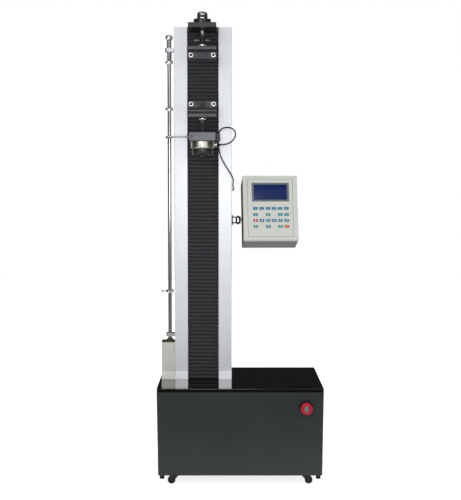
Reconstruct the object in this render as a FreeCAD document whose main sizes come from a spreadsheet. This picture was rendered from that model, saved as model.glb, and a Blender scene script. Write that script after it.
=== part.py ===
"""Peel testing machine: a floor-standing cabinet with a single screw-driven column.

The frame is in millimetres. X runs to the operator's right, Y away from the operator and Z up.
The origin is on the floor, under the middle of the base.
"""

import FreeCAD, Part
import math
import os
import re
import Sketcher
from FreeCAD import Placement, Rotation, Vector

# The driving dimensions, in millimetres and degrees
SIZES = {
    # Base
    "base_wide": 536,
    "base_deep": 400,
    "floor_gap": 35,
    "cabinet_high": 269,
    "cabinet_taper": 4,
    "sheet_wall": 2,
    "bend_radius": 5,
    "top_thick": 12,
    "foot_inset_x": 16,
    "foot_inset_y": 20,
    "foot_gap": 21,
    "inlet_inset": 88,
    "inlet_up": 60,
    "louvre_wide": 4,
    "louvre_high": 60,
    "louvre_span": 150,
    "louvre_count": 11,
    "louvre_inset": 68,

    # Column
    "column_inset": 51,
    "column_wide": 190,
    "column_setback": 169,
    "column_deep": 140,
    "column_high": 1167,
    "slot_wide": 102,
    "profile_wall": 3.5,
    "cover_thick": 3,

    # Drive
    "screw_behind_front": 71,
    "screw_radius": 10,
    "rod_spacing": 68,
    "rod_radius": 10,
    "running_gap": 0.08,
    "loose_gap": 0.3,
    "nut_body_radius": 16,
    "nut_flange_wide": 7,
    "belt_pitch": 5,
    "screw_teeth": 48,
    "motor_teeth": 24,
    "belt_wide": 15,
    "belt_thick": 3,
    "motor_offset": 122,
    "motor_square": 80,
    "motor_long": 102,
    "shelf_drop": 74,
    "shelf_thick": 8,
    "drive_wide": 65,
    "drive_deep": 160,
    "drive_high": 150,
    "drive_inset": 38,

    # Crosshead
    "axis_reach": 63,
    "arm_wide": 86,
    "arm_thick": 25.5,
    "stud_high": 76.5,
    "grip_opening": 134.5,
    "arm_reach": 45,
    "crosshead_up": 78,
    "crosshead_down": 500,
    "carriage_high": 90,
    "cell_radius": 38,
    "cell_high": 25,
    "cell_base_high": 21,
    "pleat_pitch": 12.4,
    "pleat_deep": 9,
    "bellows_thick": 2.5,
    "bellows_inset": 4,

    # Grips
    "grip_wide": 90,
    "grip_gap": 0.3,
    "jaw_high": 22.5,
    "jaw_thick": 13.7,
    "plate_thick": 14,
    "yoke_thick": 10,
    "yoke_nose": 12,
    "hanger_high": 58,
    "jaw_above_yoke": 19.5,
    "jaw_to_yoke": 6,
    "clamp_spacing": 72,
    "clamp_radius": 5,
    "clamp_head_radius": 8,
    "clamp_head_high": 10,

    # Top bracket and spindles
    "bracket_thick": 15,
    "bracket_wide": 90,
    "boss_radius": 28,
    "hex_high": 24,
    "hex_across": 30,
    "spindle_radius": 4.5,
    "nut_radius": 11.5,
    "nut_high": 9.5,

    # Limit rod
    "limit_out": 17,
    "front_slot_in": 21,
    "rear_slot_in": 17,
    "limit_radius": 6,
    "limit_travel": 3,
    "guide_high": 12,
    "guide_drop": 79,
    "guide_rise": 18,
    "spring_high": 28,
    "spring_wire": 2,
    "collar_radius": 13,
    "collar_high": 11,
    "switch_box_wide": 45,
    "switch_box_deep": 62,
    "switch_box_high": 125,

    # Controller
    "case_wide": 183,
    "case_high": 225,
    "case_deep": 100,
    "case_out": 39.9,
    "case_forward": 17,
    "case_up": 467,
    "case_yaw": 3,
    "case_tilt": 18,
    "case_wall": 3,
    "lid_deep": 14,
    "frame_inset": 15,
    "hinge_back": 12,
    "hinge_up": 102,
    "hinge_radius": 6,
    "pin_inset": 10.6,
    "pin_radius": 4,
    "knuckle_half": 7.5,
    "ear_thick": 4,
    "lug_wide": 12,
    "screen_wide": 125,
    "screen_high": 65.4,
    "screen_left": 30,
    "screen_low": 134.2,

    # Emergency stop
    "stop_inset": 57,
    "stop_drop": 49,
    "stop_ring_radius": 23,
    "stop_ring_high": 5,
    "stop_radius": 20,
    "stop_travel": 5,

    # Casters
    "caster_inset_x": 55,
    "caster_inset_y": 35,
    "caster_trail": 9,
    "wheel_radius": 12.5,
    "wheel_wide": 12,
    "axle_radius": 2.5,

    # Sensor cable
    "cable_radius": 2.25,
    "clip_bore": 3.8,
    "gland_drop": 168.5,
    "gland_deep": 21,
}

doc = FreeCAD.newDocument("peel_tester")
sheets = {}
owner = {}
nodes = []


# The two sheets

def new_sheet(name):
    sheets[name] = doc.addObject("Spreadsheet::Sheet", name)
    sheets[name].Label = name


def enter(sheet_name, alias, content):
    """Writes one cell and its alias in the next free row of a sheet."""
    sheet = sheets[sheet_name]
    row = sum(1 for kept in owner.values() if kept == sheet_name) + 1
    sheet.set(f"A{row}", alias)
    sheet.set(f"B{row}", content)
    sheet.setAlias(f"B{row}", alias)
    owner[alias] = sheet_name


def formula(text):
    """Puts each alias in the words that an object's expression needs."""

    def full(word):
        name = word.group()
        return f"{owner[name]}.{name}" if name in owner else name

    return re.sub(r"[a-z_][a-z_0-9]*", full, text)


def place(alias, text):
    """A level or position that follows from the driving dimensions."""
    enter("Places", alias, "=" + formula(text))


def read(alias):
    return float(sheets[owner[alias]].get(alias))


def bind(target, prop, text):
    target.setExpression(prop, formula(text))


new_sheet("Sizes")
new_sheet("Places")
for alias, value in SIZES.items():
    enter("Sizes", alias, str(value))

# Levels of the base and the column
place("cabinet_top", "floor_gap + cabinet_high")
place("plate_top", "cabinet_top + top_thick")
place("column_top", "plate_top + column_high")
place("column_x", "column_inset + column_wide / 2 - base_wide / 2")
place("column_front", "column_setback - base_deep / 2")
place("column_back", "column_front + column_deep")
place("column_left", "column_x - column_wide / 2")
place("column_right", "column_x + column_wide / 2")
place("slot_left", "column_x - slot_wide / 2")
place("slot_right", "column_x + slot_wide / 2")
place("bracket_level", "column_top - bracket_thick")
place("screw_y", "column_front + screw_behind_front")
place("axis_y", "column_front - axis_reach")
place("bracket_front", "axis_y - arm_reach")

# Levels of the drive
place("shelf_top", "cabinet_top - shelf_drop")
place("pulley_low", "shelf_top + 10")
place("pulley_high", "belt_wide + 5")
place("screw_pitch_radius", "screw_teeth * belt_pitch / (2 * pi)")
place("motor_pitch_radius", "motor_teeth * belt_pitch / (2 * pi)")
place("motor_x", "column_x + motor_offset")

# Levels of the crosshead and the grips
place("upper_yoke_low", "bracket_level - hanger_high - yoke_thick")
place("upper_jaw_level", "upper_yoke_low - jaw_to_yoke - jaw_high")
place("lower_jaw_level", "upper_jaw_level - grip_opening - jaw_high")
place("lower_yoke_top", "lower_jaw_level - jaw_above_yoke")
place("arm_level", "lower_yoke_top - yoke_thick - stud_high")
place("arm_top", "arm_level + arm_thick")
place("arm_middle", "arm_level + arm_thick / 2")
place("carriage_low", "arm_middle - carriage_high / 2")
place("carriage_front", "column_front + 36")
place("carriage_deep", "2 * (screw_y - carriage_front)")
place("plate_front", "axis_y + 4")
place("jaw_front", "plate_front - grip_gap - jaw_thick")

# Levels of the limit rod
place("front_slot_y", "column_front + front_slot_in")
place("rear_slot_y", "column_back - rear_slot_in")
place("limit_x", "column_left - limit_out")
place("limit_y", "front_slot_y")
place("switch_box_top", "plate_top + switch_box_high")
place("upper_guide_level", "column_top - guide_drop")
place("lower_guide_level", "switch_box_top + guide_rise")
place("upper_guide_top", "upper_guide_level + guide_high")
place("trip_level", "arm_middle + 3")
place("upper_stop_low", "trip_level + 4 + crosshead_up + limit_travel + 1.5")
place("lower_stop_top", "trip_level - 4 - crosshead_down - limit_travel - 1.5")

# Places of the controller, whose hinge is measured in the case's own frame
place("case_x", "column_right + case_out")
place("case_y", "column_front - case_forward")
place("case_z", "plate_top + case_up")
place("hinge_y", "case_deep + hinge_back")
place("pin_lean", "sin(case_tilt) * hinge_up + cos(case_tilt) * hinge_y")
place("pin_x", "case_x - cos(case_yaw) * pin_inset - sin(case_yaw) * pin_lean")
place("pin_y", "case_y - sin(case_yaw) * pin_inset + cos(case_yaw) * pin_lean")
place("pin_z", "case_z + cos(case_tilt) * hinge_up - sin(case_tilt) * hinge_y")
doc.recompute()


# Helpers for bodies and sketches

def new_body(label):
    body = doc.addObject("PartDesign::Body", label)
    body.Label = label
    return body


def node(thing, label):
    """Names a finished sub-part, which is then checked and written out."""
    thing.Label = label
    nodes.append(thing)
    return thing


def move(thing, x="0", y="0", z="0", turn=None):
    if turn is not None:
        thing.Placement = Placement(Vector(), turn)
    bind(thing, "Placement.Base.x", x)
    bind(thing, "Placement.Base.y", y)
    bind(thing, "Placement.Base.z", z)
    return thing


def sketch_on(body, role, shift="0"):
    """A sketch on one of the body's own origin planes, moved along that plane's normal."""
    plane = [part for part in body.Origin.OriginFeatures if part.Role == role][0]
    sketch = body.newObject("Sketcher::SketchObject", body.Name + "_sketch")
    sketch.AttachmentSupport = [(plane, "")]
    sketch.MapMode = "FlatFace"
    bind(sketch, "AttachmentOffset.Base.z", shift)
    return sketch


def fix(sketch, *words):
    """Adds a constraint whose last word is a formula."""
    number = sketch.addConstraint(Sketcher.Constraint(*words[:-1], 1.0))
    bind(sketch, f"Constraints[{number}]", words[-1])


def outline(sketch, corners):
    """A closed outline through corners that are pairs of formulas."""
    first = sketch.GeometryCount
    count = len(corners)
    ring = [
        Vector(math.cos(2 * math.pi * i / count), math.sin(2 * math.pi * i / count), 0)
        for i in range(count)
    ]
    for i in range(count):
        sketch.addGeometry(Part.LineSegment(ring[i], ring[(i + 1) % count]), False)
    for i in range(count):
        ends = (first + i, 2, first + (i + 1) % count, 1)
        sketch.addConstraint(Sketcher.Constraint("Coincident", *ends))
    for i, (across, up) in enumerate(corners):
        fix(sketch, "DistanceX", -1, 1, first + i, 1, across)
        fix(sketch, "DistanceY", -1, 1, first + i, 1, up)
    return sketch


def rectangle(sketch, left, right, low, high):
    return outline(sketch, [(left, low), (right, low), (right, high), (left, high)])


def circle(sketch, across, up, radius):
    index = sketch.GeometryCount
    sketch.addGeometry(Part.Circle(Vector(), Vector(0, 0, 1), 1.0), False)
    fix(sketch, "DistanceX", -1, 1, index, 3, across)
    fix(sketch, "DistanceY", -1, 1, index, 3, up)
    fix(sketch, "Radius", index, radius)
    return sketch


def volume(body):
    doc.recompute()
    return body.Shape.Volume


def pad(body, sketch, length, both=False, back=False):
    feature = body.newObject("PartDesign::Pad", body.Name + "_pad")
    feature.Profile = sketch
    feature.SideType = "Symmetric" if both else "One side"
    feature.Reversed = back
    bind(feature, "Length", length)
    body.Tip = feature
    sketch.Visibility = False
    return feature


def pocket(body, sketch, length=None, back=False):
    """Cuts a sketch out of the body: both ways through everything, or one way to a depth."""
    before = volume(body)
    feature = body.newObject("PartDesign::Pocket", body.Name + "_pocket")
    feature.Profile = sketch
    if length is None:
        feature.SideType = "Symmetric"
        feature.Type = "ThroughAll"
    else:
        feature.Reversed = back
        bind(feature, "Length", length)
    body.Tip = feature
    if volume(body) > before - 1e-3:
        raise ValueError(f"a pocket of {body.Label} cuts nothing")
    return feature


def revolve(body, sketch, line="V_Axis"):
    feature = body.newObject("PartDesign::Revolution", body.Name + "_turned")
    feature.Profile = sketch
    feature.ReferenceAxis = (sketch, [line])
    feature.Angle = 360
    body.Tip = feature
    return feature


def turned(label, corners):
    """A body turned about its own Z axis from an outline of radius and height."""
    body = new_body(label)
    revolve(body, outline(sketch_on(body, "XZ_Plane"), corners))
    return body


def round_edges(body, radius, wanted):
    """Rounds the edges for which wanted(edge) is true."""
    doc.recompute()
    base = body.Tip
    names = [
        f"Edge{i + 1}" for i, edge in enumerate(base.Shape.Edges) if wanted(edge)
    ]
    if not names:
        raise ValueError(f"{body.Label} has no edge to round")
    feature = body.newObject("PartDesign::Fillet", body.Name + "_fillet")
    feature.Base = (base, names)
    bind(feature, "Radius", radius)
    body.Tip = feature
    return feature


def pattern(body, feature, kind, direction, length, count):
    """Repeats a feature in a row or round an axis."""
    before = volume(body)
    copies = body.newObject(f"PartDesign::{kind}", body.Name + "_pattern")
    copies.Originals = [feature]
    if kind == "PolarPattern":
        copies.Axis = direction
        copies.Angle = 360
    else:
        copies.Direction = direction
        bind(copies, "Length", length)
    bind(copies, "Occurrences", count)
    body.Tip = copies
    if abs(volume(body) - before) < 1e-3:
        raise ValueError(f"a pattern of {body.Label} changes nothing")
    return copies


def along(edge, axis):
    """Is this a straight edge along an axis?"""
    if edge.Curve.TypeId != "Part::GeomLine":
        return False
    span = edge.Vertexes[-1].Point - edge.Vertexes[0].Point
    return abs(abs(span.normalize().dot(axis)) - 1) < 1e-6


def block(label, left, right, front, back, low, high):
    """A plain box between formulas."""
    box = doc.addObject("Part::Box", label)
    bind(box, "Length", f"({right}) - ({left})")
    bind(box, "Width", f"({back}) - ({front})")
    bind(box, "Height", f"({high}) - ({low})")
    return move(box, left, front, low)


def bar(label, radius, low, high, x, y):
    """An upright cylinder between two levels."""
    cylinder = doc.addObject("Part::Cylinder", label)
    bind(cylinder, "Radius", radius)
    bind(cylinder, "Height", f"({high}) - ({low})")
    return move(cylinder, x, y, low)


def group(label, *parts):
    """Separate solids that share one node."""
    feature = doc.addObject("Part::Compound", label)
    feature.Links = list(parts)
    return node(feature, label)


UP = Vector(0, 0, 1)
AWAY = Vector(0, 1, 0)
RIGHT = Vector(1, 0, 0)
FORWARD = Rotation(RIGHT, 90)


# Base

def cabinet_shell():
    """Folded sheet: front, two sides and floor, narrower at the floor, open at the top and back."""
    body = new_body("cabinet_shell")
    half = "base_wide / 2"
    low = f"({half} - cabinet_taper)"
    shape = outline(
        sketch_on(body, "XZ_Plane"),
        [
            (f"-{low}", "floor_gap"),
            (low, "floor_gap"),
            (half, "cabinet_top"),
            (f"-{half}", "cabinet_top"),
        ],
    )
    pad(body, shape, "base_deep", both=True)
    upright = lambda edge: (
        abs(edge.Vertexes[0].Z - edge.Vertexes[-1].Z) > read("cabinet_high") / 2
        and edge.Vertexes[0].Y < 0
    )
    round_edges(body, "bend_radius", upright)
    hollow = outline(
        sketch_on(body, "XZ_Plane", "-base_deep / 2"),
        [
            (f"-({low} - sheet_wall)", "floor_gap + sheet_wall"),
            (f"{low} - sheet_wall", "floor_gap + sheet_wall"),
            (f"{half} - sheet_wall", "cabinet_top"),
            (f"-({half} - sheet_wall)", "cabinet_top"),
        ],
    )
    pocket(body, hollow, "base_deep - sheet_wall", back=True)
    kingpins = sketch_on(body, "XY_Plane")
    studs = sketch_on(body, "XY_Plane")
    for side in ("", "-"):
        for end in ("", "-"):
            circle(kingpins, f"{side}caster_x", f"{end}caster_y", "4 + loose_gap")
            circle(studs, f"{side}foot_x", f"{end}foot_y", "5")
    pocket(body, kingpins)
    pocket(body, studs)
    hole = circle(sketch_on(body, "XZ_Plane"), "stop_x", "stop_z", "11")
    pocket(body, hole, "base_deep", back=True)
    return node(body, "cabinet_shell")


def rear_panel():
    """Flat sheet with louvre slots and the cut-out of the mains inlet."""
    body = new_body("rear_panel")
    gap = "(sheet_wall + 0.2)"
    low = f"(base_wide / 2 - cabinet_taper - {gap})"
    high = f"(base_wide / 2 - {gap})"
    shape = outline(
        sketch_on(body, "XZ_Plane", "-base_deep / 2"),
        [
            (f"-{low}", f"floor_gap + {gap}"),
            (low, f"floor_gap + {gap}"),
            (high, "cabinet_top"),
            (f"-{high}", "cabinet_top"),
        ],
    )
    pad(body, shape, "sheet_wall")
    inlet = rectangle(
        sketch_on(body, "XZ_Plane"), "inlet_x - 24", "inlet_x + 24", "inlet_z - 14", "inlet_z + 14"
    )
    pocket(body, inlet)
    slot = rectangle(
        sketch_on(body, "XZ_Plane"),
        "louvre_left",
        "louvre_left + louvre_wide",
        "cabinet_top - 50 - louvre_high",
        "cabinet_top - 50",
    )
    first = pocket(body, slot)
    pattern(body, first, "LinearPattern", (slot, ["H_Axis"]), "louvre_span", "louvre_count")
    return node(body, "rear_panel")


def top_plate():
    """Machined plate under the column, with the seat of the lower screw bearing."""
    body = new_body("top_plate")
    shape = rectangle(
        sketch_on(body, "XY_Plane", "cabinet_top"),
        "-base_wide / 2",
        "base_wide / 2",
        "-base_deep / 2",
        "base_deep / 2",
    )
    pad(body, shape, "top_thick")
    seat = circle(sketch_on(body, "XY_Plane"), "column_x", "screw_y", "lower_bearing_radius + 0.05")
    pocket(body, seat)
    round_edges(body, "bend_radius", lambda edge: along(edge, UP))
    rim = lambda edge: edge.BoundBox.ZMin > read("plate_top") - 0.01 and edge.Length > 100
    round_edges(body, "1.5", rim)
    return node(body, "top_plate")


def levelling_feet():
    """Four threaded studs with nuts and pads, wound up clear of the floor."""
    feet = []
    for side in ("", "-"):
        for end in ("", "-"):
            foot = turned(
                "levelling_foot",
                [
                    ("0", "foot_gap"),
                    ("8", "foot_gap"),
                    ("8", "foot_gap + 3"),
                    ("6", "foot_gap + 7"),
                    ("8", "foot_gap + 7"),
                    ("8", "floor_gap"),
                    ("4.9", "floor_gap"),
                    ("4.9", "floor_gap + sheet_wall"),
                    ("8", "floor_gap + sheet_wall"),
                    ("8", "floor_gap + sheet_wall + 8"),
                    ("4.9", "floor_gap + sheet_wall + 8"),
                    ("4.9", "floor_gap + 30"),
                    ("0", "floor_gap + 30"),
                ],
            )
            feet.append(move(foot, f"{side}foot_x", f"{end}foot_y"))
    return group("levelling_feet", *feet)


def caster(name, side, end):
    """A swivel fork with its axle, and the wheel that turns on it."""
    fork = new_body(f"{name}_caster_fork")
    half = "(wheel_wide / 2 + 2.5)"
    cheek = outline(
        sketch_on(fork, "XZ_Plane"),
        [
            ("-13", "floor_gap - 4"),
            ("-13", "floor_gap - 8"),
            ("caster_trail - 5", "wheel_radius - 4"),
            ("caster_trail + 5", "wheel_radius - 4"),
            ("15", "floor_gap - 8"),
            ("15", "floor_gap - 4"),
        ],
    )
    pad(fork, cheek, f"2 * {half}", both=True)
    gap = "(wheel_wide / 2 + 0.5)"
    slot = rectangle(sketch_on(fork, "YZ_Plane"), f"-{gap}", gap, "0", "2 * wheel_radius + 2")
    pocket(fork, slot)
    pad(fork, circle(sketch_on(fork, "XZ_Plane"), "caster_trail", "wheel_radius", "axle_radius"),
        f"2 * {half}", both=True)
    pad(fork, circle(sketch_on(fork, "XY_Plane", "floor_gap - 4"), "0", "0", "13"), "3.7")
    pad(fork, circle(sketch_on(fork, "XY_Plane", "floor_gap - 1"), "0", "0", "4"), "8")
    turn = Rotation(UP, 0 if side == "" else 180)
    move(fork, f"{side}caster_x", f"{end}caster_y", turn=turn)
    node(fork, f"{name}_caster_fork")

    wheel = turned(
        f"{name}_caster_wheel",
        [
            ("axle_radius + 0.1", "-wheel_wide / 2"),
            ("axle_radius + 3", "-wheel_wide / 2"),
            ("axle_radius + 3", "-wheel_wide / 2 + 1.5"),
            ("wheel_radius - 3.5", "-wheel_wide / 2 + 1.5"),
            ("wheel_radius - 3.5", "-wheel_wide / 2"),
            ("wheel_radius - 1", "-wheel_wide / 2"),
            ("wheel_radius", "-wheel_wide / 2 + 2"),
            ("wheel_radius", "wheel_wide / 2 - 2"),
            ("wheel_radius - 1", "wheel_wide / 2"),
            ("wheel_radius - 3.5", "wheel_wide / 2"),
            ("wheel_radius - 3.5", "wheel_wide / 2 - 1.5"),
            ("axle_radius + 3", "wheel_wide / 2 - 1.5"),
            ("axle_radius + 3", "wheel_wide / 2"),
            ("axle_radius + 0.1", "wheel_wide / 2"),
        ],
    )
    reach = f"{side}(caster_x + caster_trail)"
    move(wheel, reach, f"{end}caster_y", "wheel_radius", FORWARD)
    node(wheel, f"{name}_caster_wheel")


def power_inlet():
    """Mains inlet: flange outside the panel, body inside, with a hollow for the plug."""
    body = new_body("power_inlet")
    plane = "-base_deep / 2"
    flange = rectangle(
        sketch_on(body, "XZ_Plane", plane), "inlet_x - 27", "inlet_x + 27", "inlet_z - 17", "inlet_z + 17"
    )
    pad(body, flange, "3", back=True)
    case = rectangle(
        sketch_on(body, "XZ_Plane", plane),
        "inlet_x - 23.8",
        "inlet_x + 23.8",
        "inlet_z - 13.8",
        "inlet_z + 13.8",
    )
    pad(body, case, "28")
    well = rectangle(
        sketch_on(body, "XZ_Plane", f"{plane} - 3"),
        "inlet_x - 12",
        "inlet_x + 12",
        "inlet_z - 8",
        "inlet_z + 8",
    )
    pocket(body, well, "18", back=True)
    return node(body, "power_inlet")


def emergency_stop():
    """A collar through the front panel and the mushroom head that slides in it."""
    front = "-base_deep / 2"
    collar = turned(
        "estop_collar",
        [
            ("7 + loose_gap", "-12"),
            ("10.8", "-12"),
            ("10.8", "0"),
            ("stop_ring_radius", "0"),
            ("stop_ring_radius", "stop_ring_high - 2"),
            ("stop_ring_radius - 2", "stop_ring_high"),
            ("7 + loose_gap", "stop_ring_high"),
        ],
    )
    contacts = rectangle(sketch_on(collar, "XY_Plane", "-40"), "-14", "14", "-17", "17")
    pad(collar, contacts, "28")
    node(move(collar, "stop_x", front, "stop_z", FORWARD), "estop_collar")

    head = turned(
        "estop_head",
        [
            ("0", "-5"),
            ("7", "-5"),
            ("7", "stop_travel + 6"),
            ("stop_radius - 2", "stop_travel + 6"),
            ("stop_radius", "stop_travel + 8"),
            ("stop_radius", "stop_travel + 14"),
            ("stop_radius - 3", "stop_travel + 18.5"),
            ("stop_radius / 2", "stop_travel + 20"),
            ("0", "stop_travel + 20"),
        ],
    )
    node(move(head, "stop_x", front, "stop_z", FORWARD), "estop_head")


# Column

def column_profiles():
    """Two hollow extrusions, each with two T-slots in its outer side, on both sides of the slot."""
    body = new_body("column_profile")
    shape = sketch_on(body, "XY_Plane", "plate_top")
    corners = [("slot_right", "column_front"), ("column_right", "column_front")]
    for middle in ("front_slot_y", "rear_slot_y"):
        corners += [
            ("column_right", f"{middle} - 4"),
            ("column_right - 3", f"{middle} - 4"),
            ("column_right - 3", f"{middle} - 8"),
            ("column_right - 8", f"{middle} - 8"),
            ("column_right - 8", f"{middle} + 8"),
            ("column_right - 3", f"{middle} + 8"),
            ("column_right - 3", f"{middle} + 4"),
            ("column_right", f"{middle} + 4"),
        ]
    corners += [("column_right", "column_back"), ("slot_right", "column_back")]
    outline(shape, corners)
    inner = ("slot_right + profile_wall", "column_right - 8 - profile_wall")
    rectangle(shape, *inner, "column_front + profile_wall", "front_slot_y + 12")
    rectangle(shape, *inner, "front_slot_y + 12 + profile_wall", "rear_slot_y - 12 - profile_wall")
    rectangle(shape, *inner, "rear_slot_y - 12", "column_back - profile_wall")
    pad(body, shape, "column_high")
    corner = lambda edge: (
        along(edge, UP)
        and abs(edge.Vertexes[0].Y - read("column_front")) < 0.01
    )
    round_edges(body, "2", corner)
    twin = doc.addObject("Part::Mirroring", "column_profile_twin")
    twin.Source = body
    twin.Normal = RIGHT
    bind(twin, "Base.x", "column_x")
    return group("column_profiles", body, twin)


def column_back_cover():
    body = new_body("column_back_cover")
    shape = rectangle(
        sketch_on(body, "XY_Plane", "plate_top"),
        "slot_left",
        "slot_right",
        "column_back - cover_thick",
        "column_back",
    )
    pad(body, shape, "column_high")
    hole = circle(sketch_on(body, "XZ_Plane"), "gland_x", "gland_z", "4")
    pocket(body, hole)
    return node(body, "column_back_cover")


def top_bracket():
    """Thick plate that closes the column and reaches forward to carry the upper spindle."""
    body = new_body("top_bracket")
    half = "bracket_wide / 2"
    shape = outline(
        sketch_on(body, "XY_Plane", "bracket_level"),
        [
            (f"column_x - {half}", "bracket_front"),
            (f"column_x + {half}", "bracket_front"),
            (f"column_x + {half}", "column_front"),
            ("slot_right", "column_front"),
            ("slot_right", "column_back - cover_thick"),
            ("slot_left", "column_back - cover_thick"),
            ("slot_left", "column_front"),
            (f"column_x - {half}", "column_front"),
        ],
    )
    pad(body, shape, "bracket_thick")
    boss = circle(sketch_on(body, "XY_Plane", "column_top"), "column_x", "axis_y", "boss_radius")
    pad(body, boss, "boss_high")
    bore = circle(sketch_on(body, "XY_Plane"), "column_x", "axis_y", "spindle_radius + 1")
    pocket(body, bore)
    seat = circle(
        sketch_on(body, "XY_Plane", "bracket_level"), "column_x", "screw_y", "upper_bearing_radius + 0.05"
    )
    pocket(body, seat, "12", back=True)
    nose = lambda edge: (
        along(edge, UP)
        and edge.Vertexes[0].Y < read("bracket_front") + 0.01
    )
    round_edges(body, "2", nose)
    return node(body, "top_bracket")


def guide_rods():
    sides = ("-", "+")
    rods = [
        bar("guide_rod", "rod_radius", "plate_top", "bracket_level",
            f"column_x {side} rod_spacing / 2", "screw_y")
        for side in sides
    ]
    return group("guide_rods", *rods)


def screw_bearings():
    """Ball bearings at both ends of the screw, as plain rings."""
    lower = turned("lower_bearing", ring_outline("8.5 + running_gap", "lower_bearing_radius", "top_thick"))
    move(lower, "column_x", "screw_y", "cabinet_top")
    upper = turned("upper_bearing", ring_outline("6 + running_gap", "upper_bearing_radius", "11"))
    move(upper, "column_x", "screw_y", "bracket_level")
    return group("screw_bearings", lower, upper)


def ring_outline(inner, outer, high):
    return [(inner, "0"), (outer, "0"), (outer, high), (inner, high)]


def bellows(label, low, high):
    """A folded strip that fills the slot between the crosshead and one end of the column."""
    bottom = read(low) + read("loose_gap")
    top = read(high) - read("loose_gap")
    count = max(2, round((top - bottom) / read("pleat_pitch")))
    crest = read("column_front") + read("bellows_inset")
    root = crest + read("pleat_deep")
    front = []
    for i in range(2 * count + 1):
        level = bottom + (top - bottom) * i / (2 * count)
        front.append(Vector(0, root if i % 2 == 0 else crest, level))
    back = [point + AWAY * read("bellows_thick") for point in reversed(front)]
    face = Part.Face(Part.makePolygon(front + back + front[:1]))
    wide = read("slot_wide") - 2 * read("loose_gap")
    strip = doc.addObject("Part::Feature", label)
    strip.Shape = face.extrude(RIGHT * wide)
    move(strip, "slot_left + loose_gap")
    return node(strip, label)


# Drive inside the cabinet and the column

def lead_screw():
    body = turned(
        "lead_screw",
        [
            ("0", "pulley_low - 4"),
            ("7", "pulley_low - 4"),
            ("7", "pulley_low + pulley_high"),
            ("8.5", "pulley_low + pulley_high"),
            ("8.5", "plate_top + 1"),
            ("screw_radius", "plate_top + 1"),
            ("screw_radius", "bracket_level - 1"),
            ("6", "bracket_level - 1"),
            ("6", "bracket_level + 10"),
            ("0", "bracket_level + 10"),
        ],
    )
    return node(move(body, "column_x", "screw_y"), "lead_screw")


def toothed_pulley(label, pitch_radius, teeth, bore):
    """A timing pulley: a rim with one groove per tooth."""
    body = new_body(label)
    tip = f"({pitch_radius} - 0.6)"
    rim = circle(sketch_on(body, "XY_Plane", "pulley_low"), "0", "0", tip)
    if bore:
        circle(rim, "0", "0", bore)
    pad(body, rim, "pulley_high")
    groove = outline(
        sketch_on(body, "XY_Plane", "pulley_low"),
        [
            (f"{tip} + 1", "-1.6"),
            (f"{tip} + 1", "1.6"),
            (f"{tip} - 2", "0.9"),
            (f"{tip} - 2", "-0.9"),
        ],
    )
    first = pocket(body, groove, "pulley_high", back=True)
    pattern(body, first, "PolarPattern", (groove, ["N_Axis"]), None, teeth)
    return body


def screw_pulley():
    body = toothed_pulley("screw_pulley", "screw_pitch_radius", "screw_teeth", "7.05")
    return node(move(body, "column_x", "screw_y"), "screw_pulley")


def motor_pulley():
    """The small pulley with the motor's shaft, which turn as one."""
    body = toothed_pulley("motor_pulley", "motor_pitch_radius", "motor_teeth", None)
    shaft = circle(sketch_on(body, "XY_Plane", "shelf_top - 20"), "0", "0", "7")
    pad(body, shaft, "32")
    return node(move(body, "motor_x", "screw_y"), "motor_pulley")


def timing_belt():
    """A loop that runs straight between two arcs, clear of the teeth."""
    body = new_body("timing_belt")
    shape = sketch_on(body, "XY_Plane", "pulley_low + 2")
    for extra in ("loose_gap", "loose_gap + belt_thick"):
        belt_loop(shape, extra)
    pad(body, shape, "belt_wide")
    return node(move(body, "column_x", "screw_y"), "timing_belt")


def belt_loop(sketch, extra):
    """Two arcs and two straight runs, each tangent to the next."""
    big = read("screw_pitch_radius")
    small = read("motor_pitch_radius")
    span = read("motor_offset")
    lean = math.acos((big - small) / span)
    first = sketch.GeometryCount
    centres = (Vector(0, 0, 0), Vector(span, 0, 0))
    big_circle = Part.Circle(centres[0], UP, big)
    small_circle = Part.Circle(centres[1], UP, small)
    sketch.addGeometry(Part.ArcOfCircle(big_circle, lean, 2 * math.pi - lean), False)
    sketch.addGeometry(Part.ArcOfCircle(small_circle, -lean, lean), False)
    reach = Vector(math.cos(lean), math.sin(lean), 0)
    drop = Vector(math.cos(lean), -math.sin(lean), 0)
    sketch.addGeometry(Part.LineSegment(centres[0] + reach * big, centres[1] + reach * small), False)
    sketch.addGeometry(Part.LineSegment(centres[1] + drop * small, centres[0] + drop * big), False)
    for ends in ((0, 1, 2, 1), (2, 2, 1, 2), (1, 1, 3, 1), (3, 2, 0, 2)):
        one, start, other, end = ends
        words = (first + one, start, first + other, end)
        sketch.addConstraint(Sketcher.Constraint("Tangent", *words))
    fix(sketch, "DistanceX", -1, 1, first, 3, "0")
    fix(sketch, "DistanceY", -1, 1, first, 3, "0")
    fix(sketch, "DistanceX", -1, 1, first + 1, 3, "motor_offset")
    fix(sketch, "DistanceY", -1, 1, first + 1, 3, "0")
    fix(sketch, "Radius", first, f"screw_pitch_radius - 0.6 + {extra}")
    fix(sketch, "Radius", first + 1, f"motor_pitch_radius - 0.6 + {extra}")


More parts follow.
